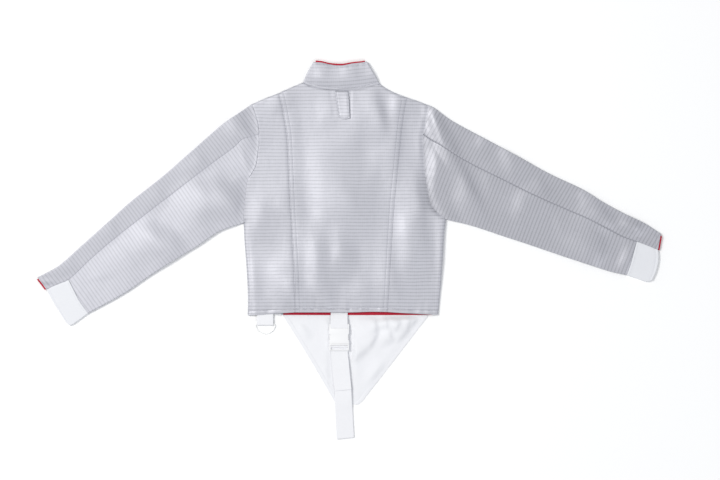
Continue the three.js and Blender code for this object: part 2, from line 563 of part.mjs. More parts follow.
function addSleeve(side, s) {
  const seam = through([...s.seam, ...s.seamToEnd.slice(1)]);
  const joint = s.jointAt;
  const topRows = [...SLEEVE_ROWS.map((v) => v * joint), ...CUFF_ROWS.slice(1).map((v) => joint + v * (1 - joint))];
  const topPlan = patch(seam, through(s.top), through(s.armholeHigh), straight(s.seamToEnd.at(-1), s.top.at(-1)));
  const underPlan = patch(stretch(seam, 0, joint), through(s.bottom), through(s.armholeLow), through(s.cuffJoint));
  const cuffPlan = patch(stretch(seam, joint, 1), through(s.cuffBottom), through(s.cuffJoint), through(s.cuffEnd));
  const reach = [0, FOLD_REACH];
  const top = inset(topPlan, [SEAM, 0, ARMHOLE_SEAM, 0]);
  const under = inset(underPlan, [SEAM, 0, ARMHOLE_SEAM, SEAM]);
  const cuff = inset(cuffPlan, [SEAM, 0, SEAM, 0]);
  add(`sleeve_${side}_top`, "lame", foldedWall(folded(top, OVER.top, UNDER.top), topRows, upperHeight, reach));
  add(`sleeve_${side}_under`, "lame", foldedWall(folded(under, OVER.under, UNDER.under), SLEEVE_ROWS, upperHeight, reach));
  add(`cuff_${side}`, "white", foldedWall(folded(cuff, steps(6), UNDER.under), CUFF_ROWS, upperHeight, reach));
  const along = topPlan(0.5, 1).sub(topPlan(0.5, 0.98)).setLength(LINING_SHOWS);
  add(`cuff_lining_${side}`, "red", lining(inset(top, [0.5, 4.5, 0, 0]), steps(4), [0.93, 0.97, 1], along, upperHeight));
}
addSleeve("left", SLEEVES.left);
addSleeve("right", SLEEVES.right);

// Hang tab on the back neck: doubled cloth that follows the back, lifted along its right edge

const TAB = { thick: 2.2, lift: 1.2 };
const tabPlan = patch(through([[-24, 305], [-28, 330], [-33, 366]]), through([[0.5, 302.5], [-1, 330], [-3, 366]]),
  through([[-24, 305], [-19, 301.5], [-12, 300.5], [0.5, 302.5]]), straight([-33, 366], [-3, 366]));
const tabLow = (x, y) => upperHeight(x, y) + 2 * GAP + TAB.lift * smooth(x, -26, 0) * (1 - smooth(y, 345, 366));
add("hang_tab", "lame", sheet(tabPlan, steps(4), steps(10), tabLow, (x, y) => tabLow(x, y) + TAB.thick));

// Red facing along the front's hem, in two lengths that end at the zip's tape

function facing(from, to, count) {
  const hem = (x) => FRONT_HEM_Y + 0.3 * Math.abs(x - 20) / 100;
  const plan = (u, v) => {
    const x = from + (to - from) * u;
    return new THREE.Vector2(x, hem(x) + v * FACING_DEEP);
  };
  return sheet(plan, steps(count), [0, 1], () => WALL + GAP, () => WALL + GAP + THIN);
}
add("hem_facing", "red", facing(-152.5, 188, 12));

// White crotch panel: hangs from the front's hem and narrows to the strap

const CROTCH_TOP_Y = FRONT_HEM_Y - 1;
const crotchPlan = patch(
  through([[-31, -353.5], [-90, -252], [-153, CROTCH_TOP_Y]]),
  through([[19, -355], [29, -347], [43, -329], [112, -240], [181, CROTCH_TOP_Y]]),
  straight([-31, -353.5], [19, -355]),
  straight([-153, CROTCH_TOP_Y], [181, CROTCH_TOP_Y]),
);
// The folds die out under the strap and its buckle, at the hem and at the stitched edges.
function crotchLow(x, y) {
  const clearOfStrap = smooth(Math.abs(x + 20), 24, 40);
  const clearOfHem = 1 - smooth(y, CROTCH_TOP_Y - 16, CROTCH_TOP_Y);
  return Math.max(0, relief(CROTCH_FOLDS, x, y) - 0.4) * clearOfStrap * clearOfHem;
}
add("crotch_panel", "white", sheet(crotchPlan, steps(16), steps(16), crotchLow, (x, y) => crotchLow(x, y) + THIN));

// Strap from the back's hem to the buckle, round the buckle's bar and back under it

const STRAP_X = -24;
const upright = (centre) => (across, y) => ({ x: centre + across, y });
const BAR = { y: -175.5, z: 6, halfLong: 5.5, halfThick: 1.5 };
const round = WEB_THICK / 2 + GAP;
const barEnd = BAR.y - BAR.halfLong + BAR.halfThick;
add("strap_upper", "webbing", ribbon([
  [-119, 3.9], [-135, 3.9], [-146, 4.2], [-156, 6.6], [-164, 8.4],
  ...arcPath(barEnd, BAR.z, BAR.halfThick + round, 90, 270, 8),
  [-168, BAR.z - BAR.halfThick - round], [-160, BAR.z - BAR.halfThick - round],
], WEB_WIDE - 1, WEB_THICK, upright(STRAP_X)));

// Buckle: the female half is a hollow housing with a bar, and the male half has prongs and a ladder frame

const BUCKLE = { left: STRAP_X - 22.5, right: STRAP_X + 22.5, low: 1.6, high: 10.4 };
const HOUSING = { from: -214.5, to: -186 };
const bothSides = (make) => [make((x) => STRAP_X + x), make((x) => STRAP_X - x)];
const mirrored = (x1, x2) => [Math.min(x1, x2), Math.max(x1, x2)];
function sideBlock(at, [near, far], [y1, y2], [z1, z2]) {
  const [x1, x2] = mirrored(at(near), at(far));
  return block([x1, y1, z1], [x2, y2, z2]);
}
const housing = cut(
  block([BUCKLE.left, HOUSING.from, BUCKLE.low], [BUCKLE.right, HOUSING.to, BUCKLE.high]),
  block([BUCKLE.left + 3, HOUSING.from - 1, BUCKLE.low + 2], [BUCKLE.right - 3, HOUSING.to - 4, BUCKLE.high - 2]),
  ...bothSides((at) => sideBlock(at, [15, 30], [-206, -194], [BUCKLE.low + 2, BUCKLE.high - 2])),
);
add("buckle_female", "plastic", geometryOf(fuse(
  housing,
  ...bothSides((at) => sideBlock(at, [20, 22.5], [-187, BAR.y + BAR.halfLong], [3.5, 8.5])),
  block([BUCKLE.left, barEnd, BAR.z - BAR.halfThick], [BUCKLE.right, BAR.y + BAR.halfLong, BAR.z + BAR.halfThick]),
  rod(BAR.halfThick, BUCKLE.left, BUCKLE.right, barEnd, BAR.z),
)));
const LADDER = { from: -231, to: -214.9, bar: { y1: -222.4, y2: -220, z1: 4.7, z2: 6.9 } };
add("buckle_male", "plastic", geometryOf(fuse(
  block([BUCKLE.left, -217, 1.8], [BUCKLE.right, LADDER.to, 9.6]),
  block([BUCKLE.left, LADDER.from, 6.8], [BUCKLE.right, LADDER.from + 2.6, 9.6]),
  block([BUCKLE.left, LADDER.bar.y1, LADDER.bar.z1], [BUCKLE.right, LADDER.bar.y2, LADDER.bar.z2]),
  ...bothSides((at) => sideBlock(at, [20.3, 22.5], [LADDER.from, LADDER.to], [1.8, 9.6])),
  block([STRAP_X - 3, LADDER.to - 0.5, 4.6], [STRAP_X + 3, -195, 7.4]),
  ...bothSides((at) => sideBlock(at, [14, 17.5], [LADDER.to - 0.5, -196], [4.4, 7.6])),
  ...bothSides((at) => sideBlock(at, [14, 23], [-205, -196], [4.4, 7.6])),
)));

// Crotch strap: one length of webbing from the panel's tip, folded back up to the buckle and over its bar

const STRAP_LEAN = [{ y: -231, x: -24 }, { y: -320, x: -15.5 }, { y: -434, x: -9.5 }];
const STRAP_SKEW = 0.1;      // its ends are cut a little off square
function leaning(across, y) {
  const below = STRAP_LEAN.findIndex((row) => row.y < y);
  const [a, b] = below < 1
    ? (y > STRAP_LEAN[0].y ? [STRAP_LEAN[0], STRAP_LEAN[0]] : STRAP_LEAN.slice(-2))
    : [STRAP_LEAN[below - 1], STRAP_LEAN[below]];
  const share = a === b ? 0 : (a.y - y) / (a.y - b.y);
  const skew = STRAP_SKEW * across * smooth(-y, 240, 300);
  return { x: a.x + (b.x - a.x) * share + across, y: y + skew };
}
const LOOP = { y: -432, low: 0.6, high: 2.8 };
const onPanel = THIN + GAP + WEB_THICK / 2;
const aboveRoot = onPanel + WEB_THICK + GAP;
const bar = LADDER.bar;
const barRound = WEB_THICK / 2 + 0.25;
add("crotch_strap", "webbing", ribbon([
  [-326, onPanel], [-345, onPanel], [-358, onPanel], [-366, LOOP.low], [-400, LOOP.low],
  ...arcPath(LOOP.y, (LOOP.low + LOOP.high) / 2, (LOOP.high - LOOP.low) / 2, 270, 90, 6),
  [-400, LOOP.high], [-372, LOOP.high], [-360, aboveRoot], [-340, aboveRoot], [-320, aboveRoot],
  [-300, onPanel + 0.3], [-280, onPanel], [-255, onPanel], [-240, 2.5], [bar.y1, 2.9],
  [bar.y2 - 0.2, 3.2], [bar.y2 + barRound, 4.2], [bar.y2 + barRound, bar.z2 - 0.6],
  [bar.y2 + 0.2, bar.z2 + barRound], [bar.y1 - 0.2, bar.z2 + barRound],
  [bar.y1 - 1.1, bar.z2 - 0.3], [bar.y1 - 2.2, 5.4], [-232, 4.9], [-240, 4.6], [-255, 4.1],
  [-280, 3.9], [-300, 4.1], [-312, 5.1], [-322, 5.9],
], WEB_WIDE - 1, WEB_THICK, leaning));

// Ring tab: webbing from under the back's hem, round the ring's bar and back. The ring turns in it.

const RING = { x: -194, wire: 1.6, wide: 45, deep: 24, barY: -170.5, barZ: 3.3 };
const loopRadius = RING.wire + 0.5 + WEB_THICK / 2;
const tabX = -194.4;
add("ring_tab", "webbing", ribbon([
  [-136, 3.7], [-145, 3.7], [-152, 3.4], [-159, 1.4], [-164, 0.6],
  ...arcPath(RING.barY, RING.barZ, loopRadius, 270, 90, 10),
  [-165, 5.8], [-158, 5.3], [-152, 5.2], [-145, 5.2], [-136, 5.2],
], WEB_WIDE - 1, WEB_THICK, upright(tabX)));

const halfWide = RING.wide / 2;
const cornerRound = 2.4;
const ringPath = new THREE.CatmullRomCurve3([
  ...steps(4).map((t) => new THREE.Vector3((t - 0.5) * 2 * (halfWide - cornerRound), 0, 0)),
  new THREE.Vector3(halfWide - 0.7, -0.7, 0),
  ...steps(10).map((t) => {
    const angle = radians(-8 - 164 * t);
    return new THREE.Vector3(halfWide * Math.cos(angle), (RING.deep - 1.6) * Math.sin(angle), 0);
  }),
  new THREE.Vector3(-halfWide + 0.7, -0.7, 0),
], true, "centripetal");
const ring = new THREE.TubeGeometry(ringPath, 48, RING.wire, 7, true);
ring.deleteAttribute("normal");
ring.deleteAttribute("uv");
// The bar is held above the surface, so the ring tilts until its far side rests.
const droop = Math.asin((RING.barZ - RING.wire) / RING.deep);
add("d_ring", "steel", mergeVertices(ring, 1e-4).rotateX(droop).translate(RING.x, RING.barY, RING.barZ));

export default garment;
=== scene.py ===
"""A fencing lame laid flat with its back up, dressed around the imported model.

Sizes are in millimetres until a mesh is made. X runs right across the back, Y towards the collar, and Z is
the height above the surface.
"""
import math

import bpy
import numpy as np
from mathutils import Matrix, Vector


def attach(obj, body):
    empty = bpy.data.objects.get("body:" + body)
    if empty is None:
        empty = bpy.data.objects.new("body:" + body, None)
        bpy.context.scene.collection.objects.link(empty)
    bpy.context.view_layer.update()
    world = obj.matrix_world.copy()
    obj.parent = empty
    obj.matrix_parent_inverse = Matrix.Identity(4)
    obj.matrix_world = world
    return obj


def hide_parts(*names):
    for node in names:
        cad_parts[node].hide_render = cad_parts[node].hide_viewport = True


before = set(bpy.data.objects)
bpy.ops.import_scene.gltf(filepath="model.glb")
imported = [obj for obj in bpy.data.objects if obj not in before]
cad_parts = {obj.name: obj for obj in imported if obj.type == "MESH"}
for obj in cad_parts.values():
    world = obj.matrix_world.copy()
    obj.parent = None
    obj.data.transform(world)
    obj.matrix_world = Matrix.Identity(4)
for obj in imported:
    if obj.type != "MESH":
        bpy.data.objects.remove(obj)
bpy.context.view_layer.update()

MM = 0.001
WALL = 1.2              # metallic cloth with its backing
THIN = 0.8              # red lining and white cotton
LOFT = 7                # usual height of the upper layer's outer face
LEAST_LOFT = 4.6        # soft lower limit of that face
COLLAR_LOFT = 11
RIM_REST = 1.5          # the back's rolled sides come down onto the fronts
FOLD_DEPTH = 1.1        # scales the depth of all the soft folds
HIGHEST = 21            # soft upper limit where folds add up
FOLD_REACH = 1.8        # how far a folded edge rounds in from the outline
STEP = 1.0              # a lapped edge stands this much above what it covers
FELL_WIDE = 9.5         # the flat felled seams of the back
FELL_ROWS = (1.6, FELL_WIDE)    # their two rows of stitches
HEM_DEEP = 8.5          # from an edge to the stitches of its hem
PITCH = 3.2             # spacing of the points in cloth that is seen
COARSE = 9              # and in cloth that lies face down
PLAIN_STEPS = (0, 1, 2, 4)      # how far the first rows of points are from a plain edge
WEB_WIDE = 38
WEB_THICK = 1.2
FRONT_HEM_Y = -149.3
STRIPE = 8.0            # pitch of the cloth's stripes
LIGHT_FROM = np.array([math.cos(math.radians(155)), math.sin(math.radians(155))])


# Outlines, the same as the part's

LEFT_SIDE = [(-234, -150), (-233, -115), (-236, -46), (-241, 20), (-243, 62)]
LEFT_ARMHOLE_LOW = [(-243, 62), (-242, 90), (-238, 126), (-235, 154), (-231, 166),
                    (-223, 179), (-215, 196), (-211, 223), (-208, 244), (-208, 265)]
LEFT_ARMHOLE_HIGH = [(-208, 265), (-210, 286), (-215, 308), (-225, 335)]
LEFT_PRINCESS = [(-125, -143), (-127, -55), (-131, 16), (-136, 104), (-140, 192),
                 (-144, 262), (-152, 312), (-162, 361)]
RIGHT_PRINCESS = [(86, -142), (91, -72), (96, 16), (102, 104), (107, 157), (114, 227),
                  (122, 298), (131, 351)]
RIGHT_SIDE = [(203, -148), (208, -92), (213, -30), (217, 34), (221, 70)]
RIGHT_ARMHOLE_LOW = [(221, 70), (202, 86), (188, 105), (180, 136), (174, 172), (171, 207),
                     (168, 251), (169, 266)]
RIGHT_ARMHOLE_HIGH = [(169, 266), (174, 285), (179, 310), (181, 333)]
HEM_LEFT = [(-234, -150), (-214, -149), (-157, -145), (-125, -143)]
HEM_CENTRE = [(-125, -143), (-45, -143), (5, -143), (50, -141.5), (86, -142)]
HEM_RIGHT = [(86, -142), (131, -145), (188, -148), (203, -148)]
SHOULDER_LEFT_OUT = [(-225, 335), (-188, 351), (-162, 361)]
SHOULDER_LEFT_IN = [(-162, 361), (-134, 374), (-107, 385)]
SHOULDER_RIGHT_IN = [(69, 382), (89, 369), (110, 359), (131, 351)]
SHOULDER_RIGHT_OUT = [(131, 351), (158, 342), (181, 333)]
BACK_NECK = [(-107, 385), (-96, 378), (-79, 373), (-56, 369), (-26, 366.5), (3, 367), (38, 372),
             (69, 382)]
FRONT_NECK = [(-107, 385), (-92, 366), (-66, 350), (-19, 340), (28, 348), (52, 363), (69, 382)]
COLLAR_BACK_TOP = [(-84, 431), (-67, 430.5), (-50, 427), (-32, 424), (-14, 424), (6, 428),
                   (27, 430.5), (40, 432.5)]
COLLAR_FRONT_TOP = [(-84, 431), (-70, 418), (-50, 405), (-20, 399), (6, 406), (26, 419), (40, 432.5)]
COLLAR_FOLD_LEFT = [(-107, 385), (-98, 406), (-84, 431)]
COLLAR_FOLD_RIGHT = [(69, 382), (57, 404), (40, 432.5)]

SLEEVES = {
    "left": dict(
        top=[(-225, 335), (-263, 309), (-289, 291), (-355, 234), (-428, 170), (-505, 109), (-547, 71),
             (-611, 14), (-669, -37), (-694, -51), (-716.5, -62.5)],
        seam=[(-208, 265), (-227, 260), (-246, 253), (-265, 236), (-318, 197), (-392, 140), (-465, 84),
              (-538, 27), (-593, -20), (-646, -69), (-665, -77), (-696, -90.5)],
        joint_at=0.9105,
        bottom=[(-243, 62), (-300, 42), (-355, 5), (-384, -12), (-458, -59), (-516, -99), (-601, -146)],
        cuff_joint=[(-646, -69), (-634, -93), (-621, -118), (-601, -146)],
        cuff_end=[(-696, -90.5), (-674, -130), (-650, -168)],
        cuff_bottom=[(-601, -146), (-636, -171), (-643, -173.5), (-650, -168)],
        armhole_low=LEFT_ARMHOLE_LOW[::-1],
        armhole_high=LEFT_ARMHOLE_HIGH,
        stripes=dict(top=127, under=126),
    ),
    "right": dict(
        top=[(181, 333), (192, 328), (207, 317), (226, 303), (242, 293), (322, 250), (391, 213),
             (456, 177), (536, 139), (581, 111), (631, 84), (677, 62), (714.6, 38)],
        seam=[(169, 266), (189, 252), (211, 239), (276, 200), (352, 162), (429, 124), (486, 99),
              (543, 74), (600, 45), (627, 31), (660, 19), (684, 10), (708, 0)],
        joint_at=0.9145,
        bottom=[(221, 70), (276, 57), (352, 32), (410, 13), (486, -13), (562, -38), (600, -50),
                (637, -58)],
        cuff_joint=[(660, 19), (655, 2), (647, -28), (637, -58)],
        cuff_end=[(708, 0), (709, -20), (704, -47), (694, -70)],
        cuff_bottom=[(637, -58), (658, -65), (683, -73), (694, -70)],
        armhole_low=RIGHT_ARMHOLE_LOW[::-1],
        armhole_high=RIGHT_ARMHOLE_HIGH,
        stripes=dict(top=60.5, under=69),
    ),
}

# Soft folds, one row for each slope that shows: x1, y1, x2, y2 along it, its half width, and its tilt in
# percent, which is over 0 where it faces the light and below 0 where it is turned away. A last number, in
# some rows, is how far its slow side reaches.
FOLDS = [
    # back, centre panel
    (-86, 250, -88, 95, 19, 11),
    (-102, 362, -92, 262, 18, 3),
    (-124, 170, -124, 92, 11, -7),
    (-105, 50, -88, -116, 18, 24, 74),
    (-72, 96, -66, 20, 16, 4),
    (-44, 34, -36, -62, 14, 24, 70),
    (-68, -98, -76, -138, 8, 9),
    (-38, -78, -44, -132, 8, -9),
    (-120, -30, -118, -136, 8, -18),
    (-24, 352, -26, 286, 20, -5, 60),
    (26, 330, 24, 200, 13, -9),
    (61, 258, 61, 196, 12, 3),
    (36, 176, 42, 40, 36, -11, 150),
    (64, 366, 88, 266, 10, -30, 130),
    (14, -46, 12, -128, 9, 6),
    (42, -78, 44, -130, 7, -6),
    (76, -50, 78, -118, 10, 3),
    (98, -28, 128, -138, 10, -15),
    # back, left panel
    (-168, 100, -114, 34, 9, 15),
    (-226, 132, -222, 38, 14, 12),
    (-190, -26, -158, -136, 17, 10),
    (-148, -70, -140, -132, 10, 13),
    (-158, 46, -150, -40, 11, 7),
    (-196, 112, -190, 30, 11, -5),
    (-211, -36, -210, -136, 8, -13),
    (-188, 352, -172, 312, 14, 7),
    # back, right panel and its seam
    (94, 352, 106, 308, 10, 12),
    (122, 334, 114, 176, 8, -24),
    (172, 326, 148, 216, 9, 7, 40),
    (160, 166, 173, 34, 8, -36, 84),
    (168, 62, 174, -30, 11, -10),
    (111, 74, 129, -62, 14, 20),
    (196, 76, 199, -92, 9, 24),
    (150, -6, 152, -112, 14, -7),
    # left sleeve
    (-420, 100, -348, 10, 28, 12),
    (-458, 68, -420, 14, 15, -20),
    (-422, 54, -380, -6, 15, -21),
    (-352, 168, -306, 100, 17, -15, 80),
    (-300, 174, -256, 100, 17, -14, 80),
    (-448, 0, -414, -34, 12, 7),
    (-540, 22, -480, -46, 5, -20),
    (-512, 34, -462, -24, 6, -12),
    (-500, 60, -458, 6, 9, 6),
    (-262, 62, -243, 130, 10, -29),
    (-352, 226, -326, 194, 9, -14),
    (-438, 144, -416, 106, 8, -11),
    (-548, 72, -526, 38, 7, -13),
    (-643, -12, -628, -44, 7, -12),
    (-246, 318, -222, 246, 9, -22),
    (-288, 298, -246, 226, 13, 12),
    (-262, 236, -238, 184, 4, 12),
    (-253, 240, -230, 190, 4, -12),
    (-596, -72, -536, -66, 6, -8),
    (-634, -84, -604, -140, 4, 8),
    # right sleeve
    (178, 322, 182, 252, 9, 12, 40),
    (190, 240, 187, 138, 9, 29),
    (197, 318, 250, 206, 11, -44, 36),
    (248, 212, 312, 80, 11, -34, 60),
    (290, 260, 296, 224, 10, 13),
    (340, 236, 374, 158, 15, 18),
    (398, 138, 374, 78, 14, 10),
    (304, 178, 321, 124, 9, 7),
    (440, 164, 470, 108, 12, -16),
    (526, 134, 530, 94, 12, 14),
    (466, 88, 479, 32, 12, 8),
    (562, 114, 608, 60, 12, -27),
    (588, 20, 566, -40, 13, -30),
    (624, 82, 636, 30, 13, 12),
    (640, 22, 610, -54, 13, 21),
    (672, 66, 668, 38, 8, -27),
]
COLLAR_FOLDS = [
    (-76, 424, -82, 388, 8, 5),
    (-52, 424, -56, 380, 8, -5),
    (-18, 420, -12, 376, 9, 6),
    (12, 424, 20, 380, 9, -6),
    (42, 420, 50, 386, 7, 5),
]
CROTCH_FOLDS = [
    (58, -150, 65, -190, 5, -80),
    (65, -190, 47, -222, 5, -90),
    (47, -222, 8, -262, 7, -72),
    (86, -154, 91, -176, 4, -100),
    (91, -176, 104, -204, 4, -100),
    (140, -152, 136, -182, 4, -100),
    (136, -182, 113, -208, 6, -60),
    (120, -158, 108, -182, 4, -80),
    (157, -152, 147, -172, 4, -70),
    (-118, -163, -88, -190, 5, -34),
    (-60, -262, -42, -300, 6, -20),
    (60, -250, 40, -300, 12, 20),
]
ZIP = dict(x=-170.5, y=-149, lean=math.atan2(112, 541), slot=14, slider=541, lift=2.0)


# Curves, plans and heights

def lengths_along(line):
    """The length of a line of points up to each of them."""
    return np.concatenate([[0], np.cumsum(np.linalg.norm(np.diff(line, axis=0), axis=1))])


def points_along(t, at, line):
    return np.stack([np.interp(t, at, line[:, k]) for k in range(line.shape[1])], -1)


def through(points):
    """A smooth curve through points, as a function of the share of its length."""
    p = np.array(points, float)
    p = np.vstack([2 * p[0] - p[1], p, 2 * p[-1] - p[-2]])
    dense = []
    for a, b, c, d in zip(p, p[1:], p[2:], p[3:]):
        k0, k1, k2 = (math.sqrt(np.linalg.norm(n - m)) for m, n in ((a, b), (b, c), (c, d)))
        m1 = ((b - a) / k0 - (c - a) / (k0 + k1) + (c - b) / k1) * k1
        m2 = ((c - b) / k1 - (d - b) / (k1 + k2) + (d - c) / k2) * k1
        t = np.linspace(0, 1, 40)[:, None]
        dense.append(b + t * m1 + t**2 * (3 * (c - b) - 2 * m1 - m2) + t**3 * (2 * (b - c) + m1 + m2))
    dense = np.vstack(dense)
    along = lengths_along(dense)
    return lambda t: points_along(t, along / along[-1], dense)


def chain(*parts):
    """Curves end to end, each with its share of the whole."""
    ends = np.cumsum([0] + [share for _, share in parts])

    def curve(t):
        t = np.asarray(t, float)[..., None]
        pieces = [c(np.clip((t[..., 0] - ends[i]) / share, 0, 1)) for i, (c, share) in enumerate(parts)]
        made = pieces[0]
        for i, piece in enumerate(pieces[1:], 1):
            made = np.where(t > ends[i], piece, made)
        return made
    return curve


def stretch(curve, start, end):
    return lambda t: curve(start + (end - start) * np.asarray(t, float))


def straight(a, b):
    a, b = np.array(a, float), np.array(b, float)
    return lambda t: a + (b - a) * np.asarray(t, float)[..., None]


def patch(left, right, bottom, top):
    """A plan that fills four boundary curves: left and right run along v, bottom and top along u."""
    c00, c10, c01, c11 = bottom(0.0), bottom(1.0), top(0.0), top(1.0)

    def plan(u, v):
        u, v = np.broadcast_arrays(np.asarray(u, float), np.asarray(v, float))
        a, b = u[..., None], v[..., None]
        return (left(v) * (1 - a) + right(v) * a + bottom(u) * (1 - b) + top(u) * b
                - c00 * (1 - a) * (1 - b) - c10 * a * (1 - b) - c01 * (1 - a) * b - c11 * a * b)
    return plan


def ease(value, low, high):
    t = np.clip((value - low) / (high - low), 0, 1)
    return t * t * (3 - 2 * t)


def bell(d, wide):
    return np.exp(-((d / wide) ** 2))


def noise(x, y, size, seed):
    """Smooth waves about the given size across, from -1 to 1."""
    table = np.random.default_rng(seed).uniform(-1, 1, (64, 64))
    gx, gy = np.asarray(x) / size, np.asarray(y) / size
    ix, iy = np.floor(gx).astype(int), np.floor(gy).astype(int)
    fx, fy = (t**3 * (t * (6 * t - 15) + 10) for t in (gx - ix, gy - iy))
    corner = lambda i, j: table[(ix + i) % 64, (iy + j) % 64]
    return ((corner(0, 0) * (1 - fx) + corner(1, 0) * fx) * (1 - fy)
            + (corner(0, 1) * (1 - fx) + corner(1, 1) * fx) * fy)


def relief(folds, x, y):
    """Each fold rises across its line and sinks back slowly, or the other way if turned from the light."""
    x, y = x + 4 * noise(x, y, 50, 1), y + 6 * noise(x, y, 70, 2)
    total = np.zeros_like(x)
    for x1, y1, x2, y2, wide, tilt, *reach in folds:
        half = math.hypot(x2 - x1, y2 - y1) / 2
        along = np.array([x2 - x1, y2 - y1]) / (2 * half)
        away = np.array([-along[1], along[0]])
        if away @ LIGHT_FROM > 0:
            away = -away
        dx, dy = x - (x1 + x2) / 2, y - (y1 + y2) / 2
        run = (dx * along[0] + dy * along[1]) / (half * 1.6)
        across = math.copysign(1, tilt) * (dx * away[0] + dy * away[1]) / wide
        taper = np.clip(1 - run**2, 0, 1) ** 2
        slow = reach[0] if reach else 7 * wide if tilt > 0 else min(14 * wide, 120)
        high = FOLD_DEPTH * wide * abs(tilt) / 100
        total += high * taper * (1 + np.tanh(across)) * (1 - ease(across, 0.8, slow / wide))
    return total


def lie(x, y):
    """Height of the upper layer, with its folds, its slack and the small crumple of the cloth."""
    slack = 0.5 * noise(x, 0.4 * y, 70, 3) + 0.2 * noise(x, 0.45 * y, 26, 4)
    slack += 0.06 * noise(x, 0.7 * y, 9, 5)
    swell = 2.6 * np.clip(1 - ((x + 15) / 225) ** 2, 0, 1) * (0.7 + 0.3 * ease(y, -150, -60))
    swell *= 1 - ease(y, 20, 300)
    height = LOFT + relief(FOLDS, x, y) + slack + swell - LEAST_LOFT
    above = LEAST_LOFT + np.log1p(np.exp(height / 0.7)) * 0.7
    return HIGHEST - np.log1p(np.exp((HIGHEST - above) / 1.2)) * 1.2


# What seams and stitching do to the height, by the distance from an edge

def lap(d, wide, high):
    return high * (1 - ease(d, wide, wide + 4))


def groove(d, deep, wide):
    return -deep * bell(d, wide)


def stitched(d, at, along, deep=0.6):
    """The dip that a row of stitches pulls into the cloth, and the puckers across it."""
    puckers = 0.75 * deep * bell(d - at, 5) * noise(along, along * 0, 4.6, 11)
    return groove(d - at, deep, 1.3) + puckers


# Meshes

def unit(vectors):
    return vectors / np.maximum(np.linalg.norm(vectors, axis=-1, keepdims=True), 1e-9)


def normals(grid):
    return unit(np.cross(np.gradient(grid, axis=0), np.gradient(grid, axis=1)))


def loop_indices(columns, rows):
    at = lambda c, r: c * rows + r
    return ([at(c, 0) for c in range(columns - 1)] + [at(columns - 1, r) for r in range(rows - 1)]
            + [at(c, rows - 1) for c in range(columns - 1, 0, -1)]
            + [at(0, r) for r in range(rows - 1, 0, -1)])


def new_object(name, verts, faces, material, uv=None, smooth=True):
    mesh = bpy.data.meshes.new(name)
    mesh.from_pydata((np.asarray(verts) * MM).tolist(), [], [list(f) for f in faces])
    if uv is not None:
        layer = mesh.uv_layers.new(name="cloth")
        corners = np.empty(len(mesh.loops), np.int32)
        mesh.loops.foreach_get("vertex_index", corners)
        layer.data.foreach_set("uv", (np.asarray(uv)[corners] * MM).astype(np.float32).ravel())
    mesh.polygons.foreach_set("use_smooth", [smooth] * len(mesh.polygons))
    mesh.materials.append(material)
    piece = bpy.data.objects.new(name, mesh)
    bpy.context.scene.collection.objects.link(piece)
    return piece


def shell(name, outer, uv, material, wall, facing):
    """A closed sheet of cloth from a grid of points on its outer face, with a rounded edge all round."""
    columns, rows = outer.shape[:2]
    inner = outer - facing * wall * normals(outer)
    rim = np.array(loop_indices(columns, rows))
    flat_outer, flat_inner = outer.reshape(-1, 3), inner.reshape(-1, 3)
    c, r = rim // rows, rim % rows
    inwards = unit(outer[np.clip(c, 1, columns - 2), np.clip(r, 1, rows - 2)] - flat_outer[rim])
    middle = (flat_outer[rim] + flat_inner[rim]) / 2 - inwards * wall * 0.45
    count = columns * rows
    index = np.arange(count).reshape(columns, rows)
    quads = np.stack([index[:-1, :-1], index[1:, :-1], index[1:, 1:], index[:-1, 1:]], -1).reshape(-1, 4)
    after = np.roll(rim, -1)
    mid = 2 * count + np.arange(len(rim))
    mid_after = np.roll(mid, -1)
    faces = np.vstack([
        quads,
        quads[:, ::-1] + count,
        np.stack([after, rim, mid, mid_after], -1),
        np.stack([mid_after, mid, rim + count, after + count], -1),
    ])
    if facing < 0:
        faces = faces[:, ::-1]
    flat_uv = uv.reshape(-1, 2)
    return new_object(name, np.vstack([flat_outer, flat_inner, middle]), faces, material,
                      np.vstack([flat_uv, flat_uv, flat_uv[rim]]))


def spread(lengths, near, far, pitch):
    """Shares at set distances from both ends of each length, with even steps between them."""
    near = np.array(near, float)[:, None] / lengths
    far = 1 - np.array(far[::-1], float)[:, None] / lengths
    count = max(2, round(float(np.mean((far[0] - near[-1]) * lengths)) / pitch))
    t = np.linspace(0, 1, count + 1)[1:-1, None]
    return np.concatenate([near, near[-1] * (1 - t) + far[0] * t, far])


